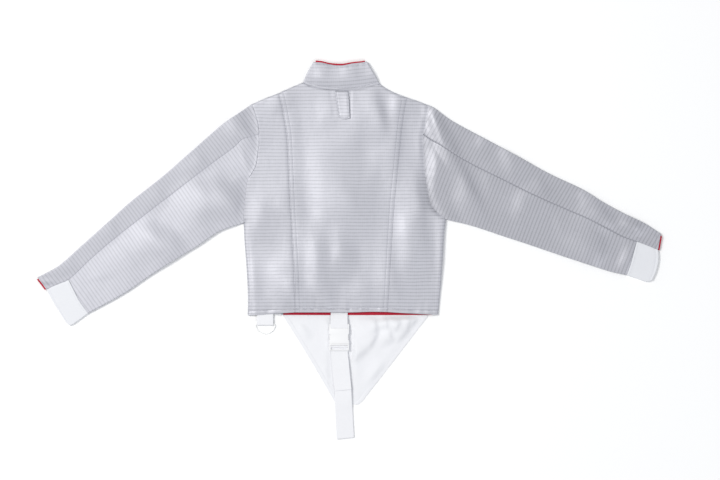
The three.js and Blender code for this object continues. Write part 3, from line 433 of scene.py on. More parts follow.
class Panel:
    """A piece of cloth: four edges, and a height that knows how far each point is from them."""

    def __init__(self, left, right, bottom, top, height):
        self.plan, self.height = patch(left, right, bottom, top), height

    def wide(self, v):
        return np.linalg.norm(self.plan(1.0, v) - self.plan(0.0, v), axis=-1)

    def long(self, u):
        return np.linalg.norm(self.plan(u, 1.0) - self.plan(u, 0.0), axis=-1)

    def outer(self, u, v):
        u, v = np.broadcast_arrays(np.asarray(u, float), np.asarray(v, float))
        xy = self.plan(u, v)
        w, l = self.wide(v), self.long(u)
        z = self.height(xy[..., 0], xy[..., 1], u * w, (1 - u) * w, v * l, (1 - v) * l)
        return np.concatenate([xy, z[..., None]], -1)

    def rows(self, first=PLAIN_STEPS, last=PLAIN_STEPS, pitch=PITCH):
        """Shares v that are close together at the bottom and at the top."""
        return spread(np.array([float(self.long(0.5))]), first, last, pitch)[:, 0]

    def grid(self, near=PLAIN_STEPS, far=PLAIN_STEPS, first=PLAIN_STEPS, last=PLAIN_STEPS, pitch=PITCH):
        """Shares u and v of a grid that is close at its edges."""
        v = self.rows(first, last, pitch)
        u = spread(self.wide(v), near, far, pitch)
        return u, v

    def along(self, d, start=0.0, end=1.0, right=False):
        """Points down a line at distance d from the left edge, or from the right."""
        v = np.linspace(start, end, 400)
        u = d / self.wide(v)
        return self.outer(1 - u if right else u, v)

    def across(self, d, start=0.0, end=1.0, top=False):
        u = np.linspace(start, end, 400)
        v = d / self.long(u)
        return self.outer(u, 1 - v if top else v)


# Stitches: one small spindle of thread each

THREAD = 0.42
SPINDLE = [(0, 2, 1), (0, 3, 2), (0, 4, 3), (0, 1, 4), (9, 5, 6), (9, 6, 7), (9, 7, 8), (9, 8, 5),
           (1, 2, 6, 5), (2, 3, 7, 6), (3, 4, 8, 7), (4, 1, 5, 8)]
stitches = dict(grey=[], white=[])


def stitch(rows, colour, pitch=3.3, long=2.3, up=(0, 0, 1)):
    """Adds rows of stitches along lines of points on the cloth."""
    for line in rows:
        far = lengths_along(line)
        starts = np.arange(pitch / 2, far[-1] - long, pitch)
        a, b = points_along(starts, far, line), points_along(starts + long, far, line)
        way = unit(b - a)
        side = unit(np.cross(way, np.array(up, float)))
        rise = np.cross(side, way)
        ring = []
        for share in (0.25, 0.75):
            centre = a + (b - a) * share + rise * THREAD * 0.35
            ring += [centre + out * THREAD for out in (side, rise, -side, -rise)]
        stitches[colour].append(np.stack([a - rise * THREAD * 0.5, *ring, b - rise * THREAD * 0.5], 1))


def repeated(faces, count, size):
    """The same faces for each of many equal groups of points."""
    return [tuple(size * k + i for i in face) for k in range(count) for face in faces]


def make_stitches(name, colour, material):
    verts = np.concatenate(stitches[colour])
    faces = repeated(SPINDLE, len(verts), 10)
    piece = new_object(name, verts.reshape(-1, 3), faces, material)
    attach(piece, "garment")


# Materials

class Nodes:
    """Builds one material's nodes. Sockets take values or the outputs of other nodes."""

    def __init__(self, name):
        self.material = bpy.data.materials.new(name)
        self.material.use_nodes = True
        self.tree = self.material.node_tree
        self.bsdf = self.tree.nodes["Principled BSDF"]

    def add(self, kind, settings=None, **inputs):
        node = self.tree.nodes.new("ShaderNode" + kind)
        for key, value in (settings or {}).items():
            setattr(node, key, value)
        for key, value in inputs.items():
            self.put(node, key.title(), value)
        return node

    def put(self, node, key, value):
        socket = node.inputs[key]
        if isinstance(value, bpy.types.NodeSocket):
            self.tree.links.new(value, socket)
        else:
            socket.default_value = value

    def math(self, operation, a, b=0.0, c=None):
        node = self.tree.nodes.new("ShaderNodeMath")
        node.operation = operation
        for i, value in enumerate((a, b) if c is None else (a, b, c)):
            self.put(node, i, value)
        return node.outputs[0]

    def cloth_uv(self):
        uv = self.add("UVMap", dict(uv_map="cloth")).outputs[0]
        parts = self.add("SeparateXYZ")
        self.tree.links.new(uv, parts.inputs[0])
        return uv, parts.outputs[0], parts.outputs[1]

    def texture(self, vector, scale, detail, stretch=(1, 1, 1)):
        """Noise over the cloth, from 0 to 1."""
        mapping = self.add("Mapping")
        self.tree.links.new(vector, mapping.inputs["Vector"])
        mapping.inputs["Scale"].default_value = stretch
        node = self.add("TexNoise", scale=scale, detail=detail, roughness=0.55)
        self.tree.links.new(mapping.outputs[0], node.inputs["Vector"])
        return node.outputs[0]

    def waves(self, value, pitch, phase=0.0):
        """A sine of a distance in metres, from 0 to 1."""
        turned = self.math("MULTIPLY_ADD", value, 2 * math.pi / pitch, phase)
        return self.math("MULTIPLY_ADD", self.math("SINE", turned), 0.5, 0.5)

    def mix(self, share, a, b):
        node = self.add("Mix", dict(data_type="RGBA"))
        self.put(node, 0, share)
        self.put(node, 6, (*a, 1))
        self.put(node, 7, (*b, 1))
        return node.outputs[2]

    def bump(self, height, distance, strength, after=None):
        node = self.add("Bump", strength=strength, distance=distance, height=height)
        if after is not None:
            self.tree.links.new(after, node.inputs["Normal"])
        return node.outputs[0]

    def finish(self, **inputs):
        names = dict(base="Base Color", rough="Roughness", metal="Metallic", normal="Normal",
                     sheen="Sheen Weight", aniso="Anisotropic", tangent="Tangent",
                     spec="Specular IOR Level")
        for key, value in inputs.items():
            self.put(self.bsdf, names[key], (*value, 1) if isinstance(value, tuple) else value)
        return self.material


def lame_material(name, tone=0.96, stripes=0.62, metal=0.3, aniso=0.25, rough=0.47):
    """Metallic cloth: thin darker stripes that shine more, slubs along both threads and a close weave."""
    n = Nodes(name)
    light = tuple(tone * c for c in (0.605, 0.607, 0.662))
    dark = tuple(tone * c for c in (0.4, 0.405, 0.435))
    uv, u, v = n.cloth_uv()
    wander = n.texture(uv, 9.0, 2.0)
    v = n.math("MULTIPLY_ADD", wander, 0.006, v)
    stripe = n.math("POWER", n.waves(v, STRIPE * MM), 4.0)
    broken = n.texture(uv, 1.0, 2.0, (260, 120, 1))
    stripe = n.math("MULTIPLY", stripe, n.math("MULTIPLY_ADD", broken, 0.9, 0.55))
    fine = n.waves(v, STRIPE * MM / 4, 1.1)
    slubs = n.texture(uv, 1.0, 3.0, (90, 900, 1))
    cross = n.texture(uv, 1.0, 3.0, (420, 22, 1))
    broad = n.texture(uv, 7.0, 2.0)
    share = n.math("MULTIPLY_ADD", fine, 0.1, n.math("MULTIPLY", stripe, stripes))
    for uneven, strength in ((slubs, 0.45), (cross, 0.4), (broad, 0.3)):
        share = n.math("MULTIPLY_ADD", n.math("SUBTRACT", uneven, 0.5), strength, share)
    checks = n.math("MULTIPLY", n.math("SUBTRACT", n.waves(u, 0.0046), 0.5), broken)
    share = n.math("MULTIPLY_ADD", checks, 0.22, share)
    colour = n.mix(n.math("MINIMUM", n.math("MAXIMUM", share, 0.0), 1.0), light, dark)
    weave = n.math("MULTIPLY", n.waves(u, 0.0011), n.waves(v, 0.0011))
    height = n.math("MULTIPLY_ADD", stripe, 0.5, n.math("MULTIPLY", weave, 0.5))
    crumple = n.texture(uv, 150.0, 3.0)
    normal = n.bump(crumple, 0.0004, 0.4, n.bump(height, 0.0001, 0.6))
    tangent = n.add("Tangent", dict(direction_type="UV_MAP", uv_map="cloth")).outputs[0]
    return n.finish(base=colour, rough=n.math("MULTIPLY_ADD", stripe, 0.08, rough),
                    metal=n.math("MULTIPLY_ADD", stripe, 0.3, metal), normal=normal, aniso=aniso,
                    tangent=tangent)


def cotton_material(name, light, dark, sheen=0.2):
    """A plain weave with a soft crumple."""
    n = Nodes(name)
    uv, u, v = n.cloth_uv()
    weave = n.math("MULTIPLY", n.waves(u, 0.0009), n.waves(v, 0.0009))
    broad = n.texture(uv, 14.0, 3.0)
    colour = n.mix(n.math("MULTIPLY_ADD", weave, 0.25, n.math("MULTIPLY", broad, 0.6)), light, dark)
    normal = n.bump(weave, 0.00012, 0.5)
    normal = n.bump(n.texture(uv, 45.0, 4.0), 0.0012, 0.5, normal)
    return n.finish(base=colour, rough=0.9, normal=normal, sheen=sheen, spec=0.25)


def webbing_material(name, light, dark):
    """Ribs along the length, crossed by fine picks."""
    n = Nodes(name)
    uv, u, v = n.cloth_uv()
    ribs = n.waves(u, 0.0021)
    slant = n.math("MULTIPLY_ADD", n.math("PINGPONG", u, 0.00105), 0.9, v)
    picks = n.waves(slant, 0.0015)
    height = n.math("MULTIPLY_ADD", ribs, 0.6, n.math("MULTIPLY", picks, 0.4))
    # Painted shade: the colour darkens where the ribs and picks are low.
    colour = n.mix(n.math("SUBTRACT", 1.0, height), light, dark)
    normal = n.bump(height, 0.00035, 0.7)
    return n.finish(base=colour, rough=0.75, normal=normal, sheen=0.1, spec=0.3)


def plastic_material(name, colour):
    n = Nodes(name)
    grain = n.texture(n.add("TexCoord").outputs["Object"], 900.0, 2.0)
    return n.finish(base=colour, rough=n.math("MULTIPLY_ADD", grain, 0.12, 0.3),
                    normal=n.bump(grain, 0.00005, 0.4), spec=0.5)


def steel_material(name, colour, rough, metal=1.0):
    n = Nodes(name)
    marks = n.texture(n.add("TexCoord").outputs["Object"], 260.0, 3.0)
    return n.finish(base=colour, metal=metal, rough=n.math("MULTIPLY_ADD", marks, 0.15, rough),
                    normal=n.bump(marks, 0.00006, 0.3))


LAME = lame_material("lame")
LAME_FAINT = lame_material("lame_collar", 0.95, 0.5)
# Painted light and painted shade: lighter and darker copies of the same lamé for the sleeves, standing in
# for how the light falls on each piece. The left under piece is lighter; the left top piece and the right
# sleeve are darker.
LAME_PAINTED_LIGHT = lame_material("lame_left_under_painted_light", 0.98, 0.5, 0.22, 0.2, 0.54)
LAME_PAINTED_SHADE_LEFT = lame_material("lame_left_top_painted_shade", 0.93, 0.5, 0.22, 0.2, 0.54)
LAME_SHADE = lame_material("lame_right_painted_shade", 0.85, 0.58)
WHITE = cotton_material("white_cotton", (0.87, 0.875, 0.9), (0.83, 0.835, 0.87))
# Painted shade: a darker copy of the white cotton for the cuffs.
WHITE_CUFF_PAINTED_SHADE = cotton_material("white_cuff_painted_shade", (0.81, 0.82, 0.85), (0.77, 0.78, 0.82))
RED = cotton_material("red_lining", (0.52, 0.02, 0.045), (0.4, 0.012, 0.03), 0.1)
WEBBING = webbing_material("white_webbing", (0.93, 0.93, 0.95), (0.82, 0.825, 0.86))
PLASTIC = plastic_material("white_plastic", (0.91, 0.91, 0.92))
STEEL = steel_material("nickel", (0.92, 0.915, 0.9), 0.28)
SATIN = steel_material("satin_nickel", (0.97, 0.97, 0.965), 0.4, 0.45)
GREY_THREAD = cotton_material("grey_thread", (0.36, 0.365, 0.42), (0.28, 0.285, 0.33), 0.0)
WHITE_THREAD = cotton_material("white_thread", (0.82, 0.825, 0.86), (0.7, 0.7, 0.75), 0.0)


# Cloth pieces

def arc_length(grid, axis):
    return float(np.linalg.norm(np.diff(grid, axis=axis), axis=-1).sum(axis).max())


def cloth(node, outer, uv, material, wall=WALL, facing=1):
    """One cut piece: it replaces its CAD node and rides on the garment."""
    piece = shell(node + "_cloth", outer, uv, material, wall, facing)
    a, b = np.diff(outer, axis=0)[:, :-1], np.diff(outer, axis=1)[:-1]
    area = float(np.linalg.norm(np.cross(a, b), axis=-1).sum()) * MM * MM
    wide, long = arc_length(outer, 0) * MM, arc_length(outer, 1) * MM
    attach(piece, "garment")
    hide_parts(node)
    area = min(area, wide * long * 0.99)


def world_uv(outer, line_angle=0.0, shift=0.0):
    """Cloth coordinates whose stripes run at an angle from X."""
    a = math.radians(line_angle)
    x, y = outer[..., 0], outer[..., 1]
    return np.stack([x * math.cos(a) + y * math.sin(a), shift - x * math.sin(a) + y * math.cos(a)], -1)


# The back

left_side, right_side = through(LEFT_SIDE), through(RIGHT_SIDE)
left_edge = chain((left_side, 0.42), (through(LEFT_ARMHOLE_LOW + LEFT_ARMHOLE_HIGH[1:]), 0.58))
right_edge = chain((right_side, 0.42), (through(RIGHT_ARMHOLE_LOW + RIGHT_ARMHOLE_HIGH[1:]), 0.58))
left_princess, right_princess = through(LEFT_PRINCESS), through(RIGHT_PRINCESS)
centre_top = chain((through(SHOULDER_LEFT_IN), 0.19), (through(BACK_NECK), 0.59),
                   (through(SHOULDER_RIGHT_IN), 0.22))
RIMS = [  # an edge, how far in its roll reaches, and the share of the drop that is steep
    (left_side, 9, 0.62),
    (right_side, 5, 0.8),
    (through(SHOULDER_LEFT_OUT + SHOULDER_LEFT_IN[1:]), 4.5, 0.88),
    (through(SHOULDER_RIGHT_IN + SHOULDER_RIGHT_OUT[1:]), 4.5, 0.88),
]


def distance(x, y, curve):
    """How far each point is from a curve."""
    line = curve(np.linspace(0, 1, 121))
    way = np.diff(line, axis=0)
    px, py = x[..., None] - line[:-1, 0], y[..., None] - line[:-1, 1]
    t = np.clip((px * way[:, 0] + py * way[:, 1]) / (way**2).sum(1), 0, 1)
    return np.hypot(px - t * way[:, 0], py - t * way[:, 1]).min(-1)


def rolled(x, y, height):
    """Height of the back's cloth where it rolls down to the fronts at the sides and shoulders."""
    rise = np.ones_like(x)
    for curve, reach, steep in RIMS:
        share = np.clip((distance(x, y, curve) - 0.25) / reach, 0, 1)
        drop = np.sqrt(1 - (1 - np.clip(share * 3, 0, 1)) ** 2)
        rise = np.minimum(rise, steep * drop + (1 - steep) * share)
    return RIM_REST + (height - RIM_REST) * rise


def hem(d, along):
    gathers = 1.1 * noise(along, along * 0, 9, 12) * bell(d - 6, 18)
    return lap(d, HEM_DEEP - 1, 0.2) + stitched(d, HEM_DEEP, along, 0.45) + gathers


def tab_dent(x, y):
    """The hang tab's seam and its right edge press into the back."""
    beside = groove(x - 1.4, 0.8, 1.8) * ease(y, 298, 306)
    return beside + groove(x + 35 + (y - 300) * 0.14, 0.5, 1.8) * ease(y, 300, 308)


def centre_height(x, y, dl, dr, db, dt):
    fell = STEP * np.maximum(1 - ease(dl, FELL_WIDE, 40), 1 - ease(dr, FELL_WIDE, 44))
    fell += tab_dent(x, y)
    rows = sum(stitched(d, at, y, 0.22) for d in (dl, dr) for at in FELL_ROWS)
    return rolled(x, y, lie(x, y) + fell + rows + hem(db, x) + groove(dt, 0.7, 2.2))


def side_height(x, y, princess, edge, db, dt):
    side_seam = groove(edge - 9.5, 1.4, 1.3) * (x < 0) * (1 - ease(y, 15, 45))
    return rolled(x, y, lie(x, y) + hem(db, x) + groove(princess, 0.8, 3) * (x < 0) + side_seam)


def left_height(x, y, dl, dr, db, dt):
    above = ease(y, 150, 175)
    return side_height(x, y, dr, dl, db, dt) + groove(dl, 0.3, 1.5) * above * ease(y, 62, 80)


def right_height(x, y, dl, dr, db, dt):
    whole = side_height(x, y, dl, dr, db, dt)
    pocket = groove(dr, 3.4, 13) * ease(y, 62, 96) * (1 - ease(y, 140, 215))
    return np.maximum(whole + groove(dr, 2.0, 6) * ease(y, 66, 90) + pocket, np.minimum(whole, 2.8))


centre = Panel(left_princess, right_princess, through(HEM_CENTRE), centre_top, centre_height)
left_panel = Panel(
    left_edge, left_princess, through(HEM_LEFT), through(SHOULDER_LEFT_OUT), left_height)
right_panel = Panel(
    right_princess, right_edge, through(HEM_RIGHT), through(SHOULDER_RIGHT_OUT), right_height)

FELL_STEPS = (0, 0.8, 1.6, 2.6, 5, 8, 9.5, 11, 13)
HEM_STEPS = (0, 1, 3, 6, 7.4, 8.5, 9.6, 12)
ROLL_STEPS = (0, 0.4, 1.2, 2.4, 4, 6, 8.5, 11)
for node, panel, near, far in (
    ("back_centre", centre, FELL_STEPS, FELL_STEPS),
    ("back_left", left_panel, ROLL_STEPS, (0, 1.5, 3, 6)),
    ("back_right", right_panel, (0, 1.5, 3, 6), ROLL_STEPS),
):
    outer = panel.outer(*panel.grid(near, far, HEM_STEPS, ROLL_STEPS[:-1]))
    cloth(node, outer, world_uv(outer), LAME)

for right in (False, True):
    stitch([centre.along(at, 0.0, 0.985, right) for at in FELL_ROWS], "grey")
for panel in (left_panel, centre, right_panel):
    stitch([panel.across(HEM_DEEP)], "grey")


# The fronts, which lie face down

BESIDE_ZIP = 7.2        # from the zip's line to the edge of the cloth beside it, along X
FRONT_ROWS = (2.5, 9)   # the rows of stitches along the zip
FRONT_STITCH = np.array([0, 0, 0.2])    # raises the fronts' stitches, which are on their lower face


def zip_x(y):
    return ZIP["x"] + (y - ZIP["y"]) * math.tan(ZIP["lean"])


def beside_zip(side, start, end):
    across = side * ZIP["slot"] / 2 / math.cos(ZIP["lean"])
    return straight((zip_x(start) + across, start), (zip_x(end) + across, end))


def face_down(x, y, *edges):
    return np.zeros_like(x)


def moved(points, dx, dy):
    return [(x + dx, y + dy) for x, y in points]


front_neck = through(FRONT_NECK)
NECK_AT_ZIP = dict(left=0.225, right=0.3)
neck_left, neck_right = front_neck(NECK_AT_ZIP["left"]), front_neck(NECK_AT_ZIP["right"])
front_left = Panel(
    stretch(left_edge, 0.003, 0.997), beside_zip(-1, FRONT_HEM_Y, float(neck_left[1]) - 0.5),
    straight((-233.5, FRONT_HEM_Y), (zip_x(FRONT_HEM_Y) - BESIDE_ZIP, FRONT_HEM_Y)),
    chain((through(moved(SHOULDER_LEFT_OUT + SHOULDER_LEFT_IN[1:], 0.5, -1.5)), 0.74),
          (stretch(front_neck, 0.02, NECK_AT_ZIP["left"]), 0.26)),
    face_down)
front_main = Panel(
    beside_zip(1, FRONT_HEM_Y, float(neck_right[1]) - 0.5), stretch(right_edge, 0.003, 0.997),
    through([(zip_x(FRONT_HEM_Y) + BESIDE_ZIP, FRONT_HEM_Y), (60, FRONT_HEM_Y - 0.5),
             (202.5, FRONT_HEM_Y + 1.5)]),
    chain((stretch(front_neck, NECK_AT_ZIP["right"], 0.98), 0.54),
          (through(moved(SHOULDER_RIGHT_IN + SHOULDER_RIGHT_OUT[1:], -0.5, -1.5)), 0.46)),
    face_down)
for node, panel in (("front_left", front_left), ("front_main", front_main)):
    outer = panel.outer(*panel.grid(pitch=COARSE))
    cloth(node, outer, world_uv(outer), LAME, facing=-1)
front_rows = [front_left.along(at, right=True) for at in FRONT_ROWS]
front_rows += [front_main.along(at) for at in FRONT_ROWS]
front_rows += [panel.across(HEM_DEEP) for panel in (front_left, front_main)]
stitch([row + FRONT_STITCH for row in front_rows], "grey", up=(0, 0, -1))


# Sleeves: each piece lies over, turns at its folded edge and runs back underneath

BEND = np.linspace(90, -90, 13)[1:-1]
CUFF_HEM = 6


def bend(upper, outline, turns):
    """Rounds from the upper layer's edge over to the lower layer."""
    half = upper[:, 2] / 2
    out = outline - upper[:, :2]
    return [np.concatenate([upper[:, :2] + out * math.cos(t), (half * (1 + math.sin(t)))[:, None]], 1)
            for t in np.radians(turns)]


def folded(panel, near, first, last):
    """The outer face of a piece folded round the far edge of its plan."""
    v = panel.rows(first, last)
    wide = panel.wide(v)
    over = spread(wide, near, (FOLD_REACH, FOLD_REACH + 1.5), PITCH)
    upper = panel.outer(over, v)
    under = spread(wide, (0.3, 4), (FOLD_REACH, FOLD_REACH + 3), COARSE)[::-1]
    xy = panel.plan(under, v)
    lower = np.concatenate([xy, np.zeros(xy.shape[:2] + (1,))], -1)
    return np.concatenate([upper, np.array(bend(upper[-1], panel.plan(1.0, v), BEND)), lower])


def sleeve_heights(side):
    left = side == "left"

    def armhole(x, y, d):
        if left:
            above = ease(y, 150, 178)
            return above * lap(d, 2, 0.6) + (1 - above) * groove(d, 3.2, 24)
        return groove(d, 2.4, 13) * ease(y, 60, 80)

    def caps(x, y, d):
        """Small gathers where the sleeve's head is eased into the armhole."""
        return 0.5 * bell(d, 26) * noise(y, x * 0 + 3, 9, 21)

    def top(x, y, dl, dr, db, dt):
        seam = groove(dl, 1.5, 1.0)
        if left:
            seam = groove(dl, 0.9, 1.1) + 0.1 * np.minimum(dl, 70) * ease(db, 0, 60)
        return lie(x, y) + seam + armhole(x, y, db) + caps(x, y, db) + hem(dt, y)

    def under(x, y, dl, dr, db, dt):
        seam = 0.02 * np.minimum(dl, 110) - 0.8 if left else groove(dl, 1.5, 1.0)
        return lie(x, y) + seam + armhole(x, y, db) + caps(x, y, db) + groove(dt, 0.9, 2)

    def cuff(x, y, dl, dr, db, dt):
        return lie(x, y) + groove(dl, 0.8, 2) + lap(db, 3, 0.7) + stitched(dt, CUFF_HEM, x + y)
    return top, under, cuff


def make_sleeve(side, s):
    seam = through(s["seam"])
    joint = s["joint_at"]
    top_height, under_height, cuff_height = sleeve_heights(side)
    end = straight(s["seam"][-1], s["top"][-1])
    top = Panel(seam, through(s["top"]), through(s["armhole_high"]), end, top_height)
    lower = Panel(stretch(seam, 0, joint), through(s["bottom"]), through(s["armhole_low"]),
                  through(s["cuff_joint"]), under_height)
    cuff = Panel(stretch(seam, joint, 1), through(s["cuff_bottom"]), through(s["cuff_joint"]),
                 through(s["cuff_end"]), cuff_height)
    # The sleeves take the lamé copies with painted light and painted shade.
    top_cloth, under_cloth = (LAME_PAINTED_SHADE_LEFT, LAME_PAINTED_LIGHT) if side == "left" else (LAME_SHADE, LAME_SHADE)
    facing = 1 if side == "right" else -1
    near = (0, 0.5, 1.1, 2.2, 4)
    outer = folded(top, near, (0, 1, 2, 4, 7), (0, 1, 3, 6, 8.5, 11))
    cloth(f"sleeve_{side}_top", outer, world_uv(outer, s["stripes"]["top"]), top_cloth,
          facing=-facing)
    outer = folded(lower, near, (0, 1, 2, 4, 7), PLAIN_STEPS)
    cloth(f"sleeve_{side}_under", outer, world_uv(outer, s["stripes"]["under"]), under_cloth,
          facing=facing)
    outer = folded(cuff, near, PLAIN_STEPS, (0, 1, 3, 5, 6, 7))
    # The cuff takes the darker copy of the white cotton, with its painted shade.
    cloth(f"cuff_{side}", outer, world_uv(outer, s["stripes"]["under"]), WHITE_CUFF_PAINTED_SHADE, facing=facing)
    stitch([cuff.across(CUFF_HEM, 0.05, 0.93, True), cuff.across(4, 0.04, 0.95)], "white")
    stitch([top.across(HEM_DEEP, 0.05, 0.88, True)], "grey")
    reach = top.plan(0.5, 1.0) - top.plan(0.5, 0.98)
    reach *= 4 / np.linalg.norm(reach)
    u = np.linspace(0.02, 0.88, 14)[:, None]
    v = np.array([0.93, 0.96, 0.985, 1.0, 1.0])[None, :]
    grid = top.outer(u, v)
    grid[..., 2] -= WALL + 0.5
    grid[:, -1, :2] += reach
    cloth(f"cuff_lining_{side}", grid, world_uv(grid), RED, THIN, -facing)


for side, table in SLEEVES.items():
    make_sleeve(side, table)


# Collar: one band from the zip round the back of the neck to the zip again, with its red lining

COLLAR_LOW_ROW, COLLAR_TOP_ROW = 6, 4


def collar_height(x, y, dl, dr, db, dt):
    rise = COLLAR_LOFT - 2.6 + 2.8 * ease(db, 2, 26) + 0.4 * noise(x, y, 30, 8)
    rise += relief(COLLAR_FOLDS, x, y)
    puckers = 0.35 * noise(x, y * 0.2, 9, 9) * bell(db, 13)
    drop = -1.6 * (1 - ease(dt, 0, 3))
    rise += puckers + groove(db, 1.0, 2)
    return rise + stitched(db, COLLAR_LOW_ROW, x, 0.5) + stitched(dt, COLLAR_TOP_ROW, x, 0.5) + drop


collar_folds = through(COLLAR_FOLD_LEFT), through(COLLAR_FOLD_RIGHT)
collar_back = Panel(*collar_folds, through(BACK_NECK), through(COLLAR_BACK_TOP), collar_height)
collar_front = patch(*collar_folds, through(FRONT_NECK), through(COLLAR_FRONT_TOP))


def collar_end(side, v):
    """Where the zip parts the front of the collar, as a share of each row."""
    left, right = collar_front(0.0, v), collar_front(1.0, v)
    gap = zip_x((left[..., 1] + right[..., 1]) / 2 - 22 * (1 - v) - 20) + side * BESIDE_ZIP
    return (gap - left[..., 0]) / (right[..., 0] - left[..., 0])


def make_collar():
    v = spread(np.array([60.0]), (0, 1, 2.2, 4, 6, 8, 11), (0, 0.8, 2, 3, 4, 5.2, 8), 4)[:, 0]
    wide = collar_back.wide(v)
    over = spread(wide, (FOLD_REACH, FOLD_REACH + 1.5), (FOLD_REACH, FOLD_REACH + 1.5), PITCH)
    upper = collar_back.outer(over, v)
    flat = lambda u: np.concatenate([collar_front(u, v), np.zeros((len(v), 1))], 1)
    left_end, right_end = collar_end(-1, v), collar_end(1, v)
    near = FOLD_REACH / wide
    left = [flat(left_end + (near - left_end) * t) for t in np.linspace(0, 1, 7)]
    right = [flat(1 - near + (right_end - 1 + near) * t) for t in np.linspace(0, 1, 16)]
    outer = np.stack([*left, *bend(upper[0], collar_back.plan(0.0, v), -BEND),
                      *upper, *bend(upper[-1], collar_back.plan(1.0, v), BEND), *right])
    uv = world_uv(outer, 5)
    uv[..., 1] = 0.6 * uv[..., 1] + 0.4 * v * 56
    cloth("collar", outer, uv, LAME_FAINT)
    stitch([collar_back.across(COLLAR_LOW_ROW, 0.04, 0.96),
            collar_back.across(COLLAR_TOP_ROW, 0.05, 0.95, True)], "grey")
    u = np.linspace(0.05, 0.955, 50)[:, None]
    v = np.array([0.3, 0.6, 0.9, 0.97, 1.0, 1.0])[None, :]
    grid = collar_back.outer(u, v)
    grid[..., 2] = np.array([COLLAR_LOFT - 3.0] * 4 + [COLLAR_LOFT - 2.4, COLLAR_LOFT - 2.6])
    show = 3.6 + 0.8 * noise(u[:, 0] * 150, u[:, 0] * 0, 22, 31)
    grid[:, 4, 1] += show * 0.7
    grid[:, 5, 1] += show
    cloth("collar_lining", grid, world_uv(grid), RED, THIN)


make_collar()


# Hang tab: doubled cloth that follows the back, lifted along its right edge

TAB_THICK = 1.8
TAB_LIFT = 1.0
TAB_HEM = 2.2


def tab_height(x, y, dl, dr, db, dt):
    follows = lie(x, y) + TAB_THICK + 0.7 + TAB_LIFT * ease(x, -26, 0) * (1 - ease(y, 345, 366))
    edge = np.minimum(np.minimum(dl, dr), db)
    sewn = follows + stitched(edge, TAB_HEM, y, 0.25) - 0.5 * (1 - ease(edge, 0, 0.9))
    return sewn - 2.0 * (1 - ease(dt, 0, 3))


tab = Panel(
    through([(-24, 305), (-28, 330), (-33, 366)]), through([(0.5, 302.5), (-1, 330), (-3, 366)]),
    through([(-24, 305), (-19, 301.5), (-12, 300.5), (0.5, 302.5)]), straight((-33, 366), (-3, 366)),
    tab_height)
TAB_STEPS = (0, 0.5, 1, 1.6, 2.2, 2.9, 4)
outer = tab.outer(*tab.grid(TAB_STEPS, TAB_STEPS, TAB_STEPS, (0, 1, 2), 2.5))
cloth("hang_tab", outer, world_uv(outer, 0, 3.5), LAME, TAB_THICK)
tab_rows = [tab.along(TAB_HEM, 0.05, 0.97, right) for right in (False, True)]
stitch([*tab_rows, tab.across(TAB_HEM, 0.1, 0.92)], "grey", 2.4, 1.7)


# Red facing along the front's hem

def facing_height(x, y, *edges):
    return np.full_like(x, WALL + 0.3 + THIN) + 0.15 * noise(x, y, 14, 41)


def make_facing():
    left, middle, right, top = -152.5, 20, 188, -122.5
    foot = lambda x: (x, FRONT_HEM_Y + 0.3 * abs(x - middle) / 100)
    panel = Panel(
        straight(foot(left), (left, top)), straight(foot(right), (right, top)),
        through([foot(left), foot(middle), foot(right)]), straight((left, top), (right, top)),
        facing_height)
    outer = panel.outer(*panel.grid(pitch=6))
    cloth("hem_facing", outer, world_uv(outer), RED, THIN)


make_facing()


# White crotch panel: hangs from the front's hem and narrows to the strap

CROTCH_TOP_Y = FRONT_HEM_Y - 0.8
CROTCH_MIDDLE = -20
CROTCH_WIDE = 330.0
CROTCH_HEM = 9


def crotch_height(x, y, dl, dr, db, dt):
    sides = np.minimum(dl, dr)
    inside = ease(sides, 2, 26) * ease(db, 4, 40)
    aside = abs(x - CROTCH_MIDDLE)
    clear = ease(aside, 22, 36) * (1 - ease(y, CROTCH_TOP_Y - 12, CROTCH_TOP_Y)) * inside
    waves = 0.9 * noise(x, y, 45, 14) + 0.3 * noise(x, y, 18, 15)
    folds = np.maximum(0, 1.2 + relief(CROTCH_FOLDS, x, y) + waves)
    gathers = 0.5 * noise(x, y * 0.15, 7, 16) * bell(dt, 22) * ease(aside, 24, 34)
    pleats = 0.6 * noise(x, y * 0.2, 5, 17) * bell(db, 12)
    hems = 0.5 * (1 - ease(sides, CROTCH_HEM - 0.5, CROTCH_HEM + 1.5))
    hems += stitched(sides, CROTCH_HEM, y, 0.4) + stitched(sides, 2, y, 0.3)
    return THIN + 0.15 + folds * clear + np.maximum(0, gathers) + np.maximum(0, pleats) + hems


crotch = Panel(
    through([(-31, -353.5), (-90, -252), (-153, CROTCH_TOP_Y)]),
    through([(19, -355), (29, -347), (43, -329), (112, -240), (181, CROTCH_TOP_Y)]),
    straight((-31, -353.5), (19, -355)), straight((-153, CROTCH_TOP_Y), (181, CROTCH_TOP_Y)),
    crotch_height)
EDGE_STEPS = (0, 1, 2, 3, 6, 8, 9, 10.5)
across = spread(np.array([CROTCH_WIDE]), EDGE_STEPS, EDGE_STEPS, PITCH)
outer = crotch.outer(across, crotch.rows(first=(0, 1, 3)))
cloth("crotch_panel", outer, world_uv(outer), WHITE, THIN)
stitch([crotch.along(CROTCH_HEM, 0.2, 0.97, right) for right in (False, True)], "white")


# Webbing: ribbons along a path of y and z

def arc_path(y, z, radius, start, end, count=12):
    turns = np.radians(np.linspace(start, end, count))
    return [(y + radius * math.cos(a), z + radius * math.sin(a)) for a in turns]


